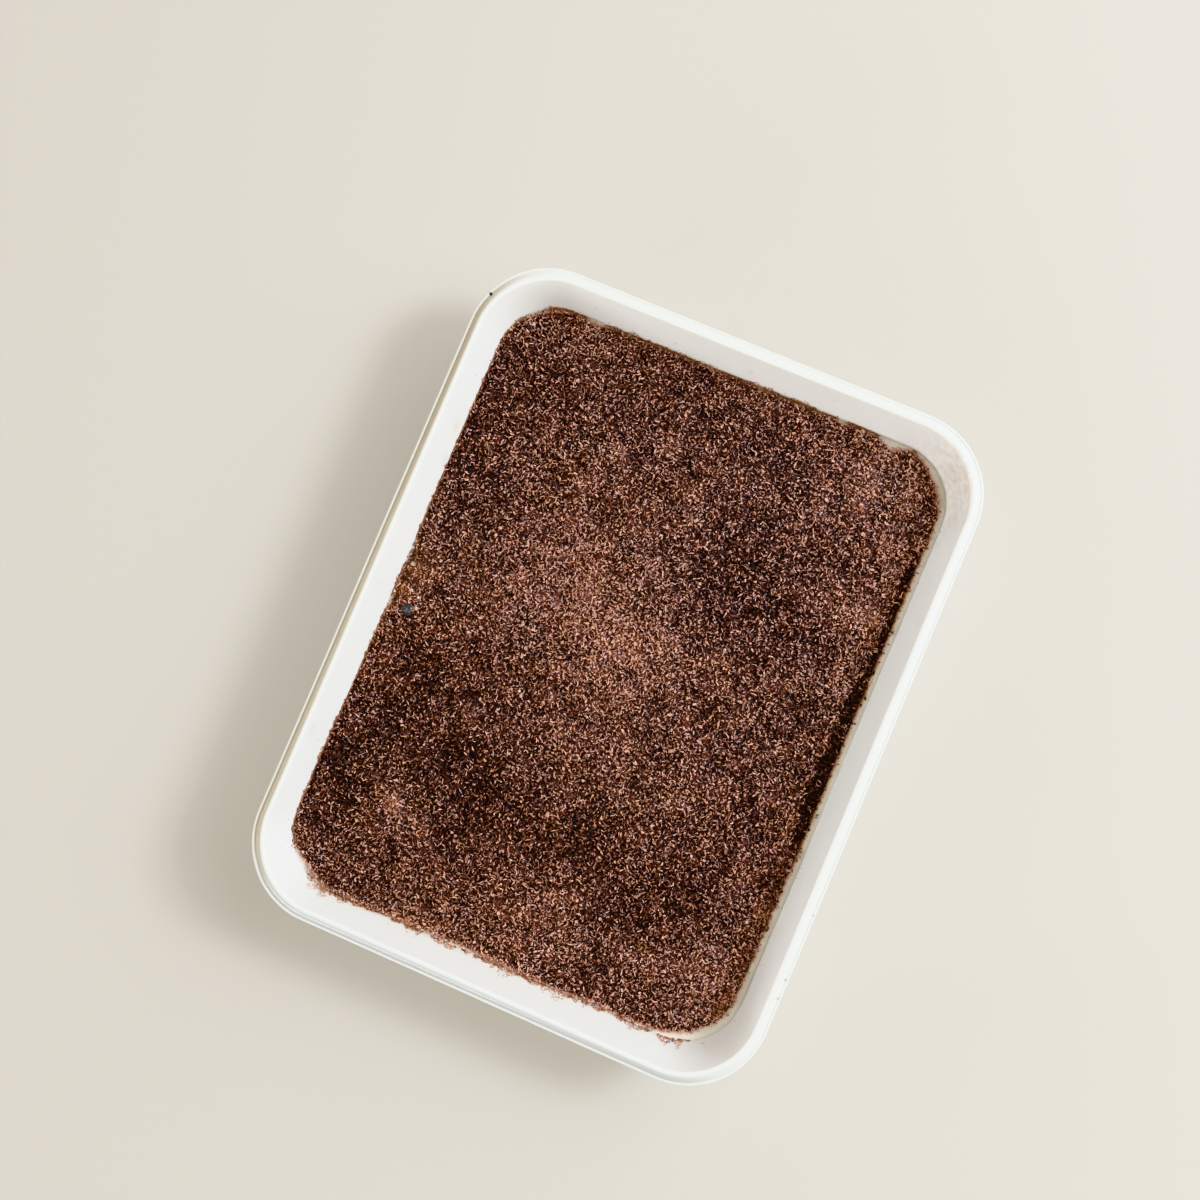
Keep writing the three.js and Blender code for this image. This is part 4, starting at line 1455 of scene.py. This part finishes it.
def build_fringe():
    """Shavings that cling to the wall above the bed's edge, the fewer, smaller, paler and more golden the
    higher, most on the near side. Where cream is bared there are fewer, but not on the near side."""
    tray, food = forms()
    rng = draws(100)
    share = rng.random(FRINGE.count)
    x, y, out = tray.around(share, food.bed_inset)
    elsewhere = 1 - ease((-out[:, 1] - NEAR_FROM) / NEAR_OVER)
    chance = by_side(out, FRINGE_SHARES) * (1 - food.bared(x, y) * elsewhere)
    kept = rng.random(FRINGE.count) < chance
    share, out, x, y = share[kept], out[kept], x[kept], y[kept]
    count = len(share)
    clumps = np.clip(CLUMP_MIDDLE + food.layered(x, y, CLUMPS), *CLUMP_RANGE)
    climb = clumps * rng.random(count) ** 1.5 * by_side(out, FRINGE_CLIMBS) * MM
    z = food.wall_line(x, y) - FRINGE_START + climb
    x, y, _ = tray.around(share, tray.wall_inset(z, 0.2 * MM))
    tangent = np.stack([-out[:, 1], out[:, 0], np.zeros(count)], 1)
    up = np.concatenate([out * math.sin(tray.lean), np.full((count, 1), math.cos(tray.lean))], 1)
    base = np.stack([tangent, up, np.cross(tangent, up)], 2)
    scale = np.clip(1.1 - climb / (9 * MM), 0.35, 1)[:, None, None]
    points = shaving_points(rng, FRINGE, count, scale)
    points = rotated(base @ random_turns(rng, FRINGE, count), points) + np.stack([x, y, z], -1)[:, None]
    points = tray.hold_in(points, 0.01 * MM)
    tone = FRINGE.tone + 0.06 * climb / MM + rng.normal(0, FRINGE.spread, count)
    tint = 0.85 + rng.normal(0, 0.25, count)
    gold = 0.25 + 0.08 * climb / MM
    make_loose(
        FRINGE.name, points, shaving_faces(count, FRINGE.rings),
        tone[:, None] + section_tones(FRINGE.rings), tint[:, None], gold[:, None])


# How many crumbs lie between the shavings, and how many on the wall
CRUMBS = 6500
WALL_CRUMBS = 90

# Corners and faces of a crumb, an octahedron
CRUMB_CORNERS = np.array([(1, 0, 0), (-1, 0, 0), (0, 1, 0), (0, -1, 0), (0, 0, 1), (0, 0, -1)], float)
CRUMB_FACES = np.array([
    (0, 2, 4), (2, 1, 4), (1, 3, 4), (3, 0, 4),
    (2, 0, 5), (1, 2, 5), (3, 1, 5), (0, 3, 5),
])


def crumb_arrays(rng, places, radius):
    """Crumbs: each corner of an octahedron at its own distance from the middle, turned at random."""
    count = len(places)
    corners = CRUMB_CORNERS[None] * rng.uniform(0.6, 1.25, (count, 6, 1)) * radius[:, None, None]
    matrices = turned(*(rng.uniform(0, 2 * math.pi, count) for _ in range(3)))
    faces = CRUMB_FACES[None] + (np.arange(count) * 6)[:, None, None]
    return rotated(matrices, corners) + places[:, None], faces.reshape(-1, 3)


def build_crumbs():
    """Crumbs between the shavings, and a few that lie on the wall."""
    tray, food = forms()
    rng = draws(200)
    x, y = scatter(rng, food, CRUMBS)
    count = len(x)
    z = food.core_height(x, y) + rng.uniform(0.05, 0.5, count) * MM
    radius = rng.uniform(0.13, 0.3, count) * MM
    points, faces = crumb_arrays(rng, np.stack([x, y, z], 1), radius)
    points = tray.hold_in(points, 0.02 * MM)
    tone = food.tone(x, y, 0.5, 0.5, 0) + rng.normal(0, 0.2, count)
    tint = food.tint(x, y) + rng.normal(0, 0.25, count)
    make_loose("crumbs", points, faces, tone[:, None], tint[:, None], food.gold(x, y)[:, None])
    share = rng.random(WALL_CRUMBS)
    climb = rng.exponential(3.0, WALL_CRUMBS) * MM + 0.6 * MM
    x, y, _ = tray.around(share, food.bed_inset)
    z = np.minimum(food.bed_height(x, y) + climb, TRAY_HEIGHT - 3 * MM)
    radius = rng.uniform(0.06, 0.17, WALL_CRUMBS) * MM
    x, y, _ = tray.around(share, tray.wall_inset(z, radius * 0.6))
    points, faces = crumb_arrays(rng, np.stack([x, y, z], 1), radius)
    points = tray.hold_in(points, 0.005 * MM)
    make_loose("wall_crumbs", points, faces, 0.5, 0.6, 0.0)


def ball_ways(columns, rings):
    """Turns round a ball, tips up from level, and the directions that they give, without the poles."""
    turn = np.linspace(0, 2 * math.pi, columns, endpoint=False)[None, :]
    tip = np.linspace(-QUARTER_TURN, QUARTER_TURN, rings + 2)[1:-1, None]
    level = np.cos(tip)
    ways = np.broadcast_arrays(level * np.cos(turn), level * np.sin(turn), np.sin(tip))
    return turn, tip, np.stack(ways, -1)


def ball_skin(middle, halves, ways, rough):
    """Points and faces of a ball with a half size each way, each radius times a roughness."""
    pole = np.array([0, 0, halves[2]])
    return skin(middle + ways * halves * rough[..., None], middle - pole, middle + pole)


def build_cream_spots():
    """Dabs of cream that come up between the shavings: balls pressed flat, each radius uneven by noise."""
    _, food = forms()
    turn, tip, ways = ball_ways(20, 9)
    all_points, all_faces, start = [], [], 0
    for order, (spot_x, spot_y, radius) in enumerate(CREAM_SPOTS):
        x, y = spot_x * MM, spot_y * MM
        middle = np.array([x, y, float(food.bed_height(x, y)) - 0.1 * MM])
        halves = np.array([1, 1, 0.5]) * radius * MM
        uneven = 1 + 0.3 * noise(np.cos(turn) + tip, np.sin(turn) - tip, 0.7, 91 + order)
        points, faces = ball_skin(middle, halves, ways, uneven)
        all_points.append(points)
        all_faces += [group + start for group in faces]
        start += len(points)
    make_piece(
        "cream_spots", np.concatenate(all_points), all_faces, dessert_cream(),
        values={"soak": np.full(start, 0.2)})


def build_lump():
    """The dark lump: a ball with its own half size each way, made rough by two sizes of noise."""
    _, food = forms()
    x, y, *halves = np.array(LUMP) * MM
    _, _, ways = ball_ways(40, 19)
    across, along, up = ways[..., 0], ways[..., 1], ways[..., 2]
    rough = 1 + 0.22 * noise(across + up, along - up, 0.6, 97)
    rough += 0.16 * noise(across - up, along + up, 0.25, 98)
    middle = np.array([x, y, float(food.bed_height(x, y))])
    points, faces = ball_skin(middle, np.array(halves), ways, rough)
    make_piece("dark_lump", points, faces, lump_material(), smooth=False)


# Stage

# Lights: azimuth from +X to +Y and elevation (degrees), distance and size (metres), energy, colour
LIGHTS = (
    ("key", 43, 40, 1.5, (2.0, 1.3), 18.0, (0.84, 0.92, 1.0)),
    ("key_middle", 32, 43, 1.3, (0.3, 0.3), 8.5, (0.84, 0.92, 1.0)),
    ("low_fill_near", 250, 11, 1.4, (1.0, 0.3), 8.5, (0.86, 0.94, 1.0)),
    ("low_fill_left", 195, 12, 1.4, (1.0, 0.25), 6.0, (0.84, 0.94, 1.0)),
)
WORLD_COLOUR = (1.0, 0.90, 0.77)
WORLD_STRENGTH = 0.66


def area_light(name, azimuth, elevation, distance, size, energy, colour):
    """A rectangular light that faces the tray's middle."""
    turn, tilt = math.radians(azimuth), math.radians(elevation)
    level = math.cos(tilt)
    place = Vector((level * math.cos(turn), level * math.sin(turn), math.sin(tilt))) * distance
    light = bpy.data.lights.new(name, "AREA")
    light.shape = "RECTANGLE"
    light.size, light.size_y = size
    light.energy = energy
    light.color = colour
    lamp = bpy.data.objects.new(name, light)
    lamp.location = place
    lamp.rotation_euler = (-place).to_track_quat("-Z", "Y").to_euler()
    bpy.context.scene.collection.objects.link(lamp)


def build_floor(settings):
    """The floor: a square with its middle under the tray, just below the foot."""
    half, z = 3.0, -0.1 * MM
    corners = [(-half, -half, z), (half, -half, z), (half, half, z), (-half, half, z)]
    mesh = bpy.data.meshes.new("floor")
    mesh.from_pydata(corners, [], [(0, 1, 2, 3)])
    material, _, _ = new_material("pale_floor", Roughness=0.75, Base_Color=(*settings.floor, 1))
    mesh.materials.append(material)
    floor = bpy.data.objects.new("floor", mesh)
    bpy.context.scene.collection.objects.link(floor)


def build_camera(settings):
    """The camera looks from its place to its target, its up the tray's +Y turned about that line."""
    data = bpy.data.cameras.new("camera")
    data.lens = settings.lens
    data.sensor_width = 36
    camera = bpy.data.objects.new("camera", data)
    place, target = Vector(settings.camera_place), Vector(settings.camera_target)
    back = (place - target).normalized()
    level = (Vector((0, 1, 0)) - back * back.y).normalized()
    up = Matrix.Rotation(settings.camera_turn, 3, back) @ level
    right = up.cross(back)
    camera.matrix_world = Matrix((right, up, back)).transposed().to_4x4()
    camera.location = place
    bpy.context.scene.collection.objects.link(camera)
    bpy.context.scene.camera = camera


def build_stage():
    """The floor, the camera, the lights and the even light of the room."""
    scene = bpy.context.scene
    settings = scene.tiramisu_stage
    build_floor(settings)
    build_camera(settings)
    for light in LIGHTS:
        area_light(*light)
    world = bpy.data.worlds.new("studio")
    world.use_nodes = True
    background = world.node_tree.nodes["Background"]
    background.inputs["Color"].default_value = (*WORLD_COLOUR, 1)
    background.inputs["Strength"].default_value = WORLD_STRENGTH
    scene.world = world
    scene.view_settings.view_transform = "Khronos PBR Neutral"


# Operators

class TIRAMISU_OT_tray(bpy.types.Operator):
    """Builds the enamelled tray"""
    bl_idname = "tiramisu.tray"
    bl_label = "Enamel tray"

    def execute(self, context):
        build_tray()
        return {"FINISHED"}


class TIRAMISU_OT_cream(bpy.types.Operator):
    """Builds the cream and the dabs of it that come up between the shavings"""
    bl_idname = "tiramisu.cream"
    bl_label = "Cream"

    def execute(self, context):
        build_cream()
        build_cream_spots()
        return {"FINISHED"}


class TIRAMISU_OT_core(bpy.types.Operator):
    """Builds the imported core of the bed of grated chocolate"""
    bl_idname = "tiramisu.core"
    bl_label = "Chocolate bed"

    def execute(self, context):
        build_core()
        return {"FINISHED"}


class TIRAMISU_OT_shavings(bpy.types.Operator):
    """Scatters the loose shavings and crumbs over the bed and along the wall"""
    bl_idname = "tiramisu.shavings"
    bl_label = "Loose shavings"

    def execute(self, context):
        build_shavings()
        build_fringe()
        build_crumbs()
        build_lump()
        return {"FINISHED"}


class TIRAMISU_OT_stage(bpy.types.Operator):
    """Sets up the floor, the lights and the camera"""
    bl_idname = "tiramisu.stage"
    bl_label = "Stage"

    def execute(self, context):
        build_stage()
        return {"FINISHED"}


OPERATORS = (
    TIRAMISU_OT_tray,
    TIRAMISU_OT_cream,
    TIRAMISU_OT_core,
    TIRAMISU_OT_shavings,
    TIRAMISU_OT_stage,
)

SETTINGS = {
    "tiramisu_tray": TraySettings,
    "tiramisu_cream": CreamSettings,
    "tiramisu_chocolate": ChocolateSettings,
    "tiramisu_stage": StageSettings,
}


class TIRAMISU_PT_panel(bpy.types.Panel):
    """Lists the operators and their settings"""
    bl_idname = "TIRAMISU_PT_panel"
    bl_label = "Tiramisu"
    bl_space_type = "VIEW_3D"
    bl_region_type = "UI"
    bl_category = "Tiramisu"

    def draw(self, context):
        for operator in OPERATORS:
            self.layout.operator(operator.bl_idname)
        for name, group in SETTINGS.items():
            box = self.layout.box()
            for label in group.__annotations__:
                box.prop(getattr(context.scene, name), label)


def register():
    """Makes the settings, the operators and the panel known."""
    for group in (*SETTINGS.values(), *OPERATORS, TIRAMISU_PT_panel):
        bpy.utils.register_class(group)
    for name, group in SETTINGS.items():
        setattr(bpy.types.Scene, name, PointerProperty(type=group))


def unregister():
    """Takes them out again."""
    for name in SETTINGS:
        delattr(bpy.types.Scene, name)
    for group in reversed((*SETTINGS.values(), *OPERATORS, TIRAMISU_PT_panel)):
        bpy.utils.unregister_class(group)


def main():
    """Builds everything in order."""
    register()
    bpy.ops.tiramisu.tray()
    bpy.ops.tiramisu.cream()
    bpy.ops.tiramisu.core()
    bpy.ops.tiramisu.shavings()
    bpy.ops.tiramisu.stage()


if __name__ == "__main__":
    main()
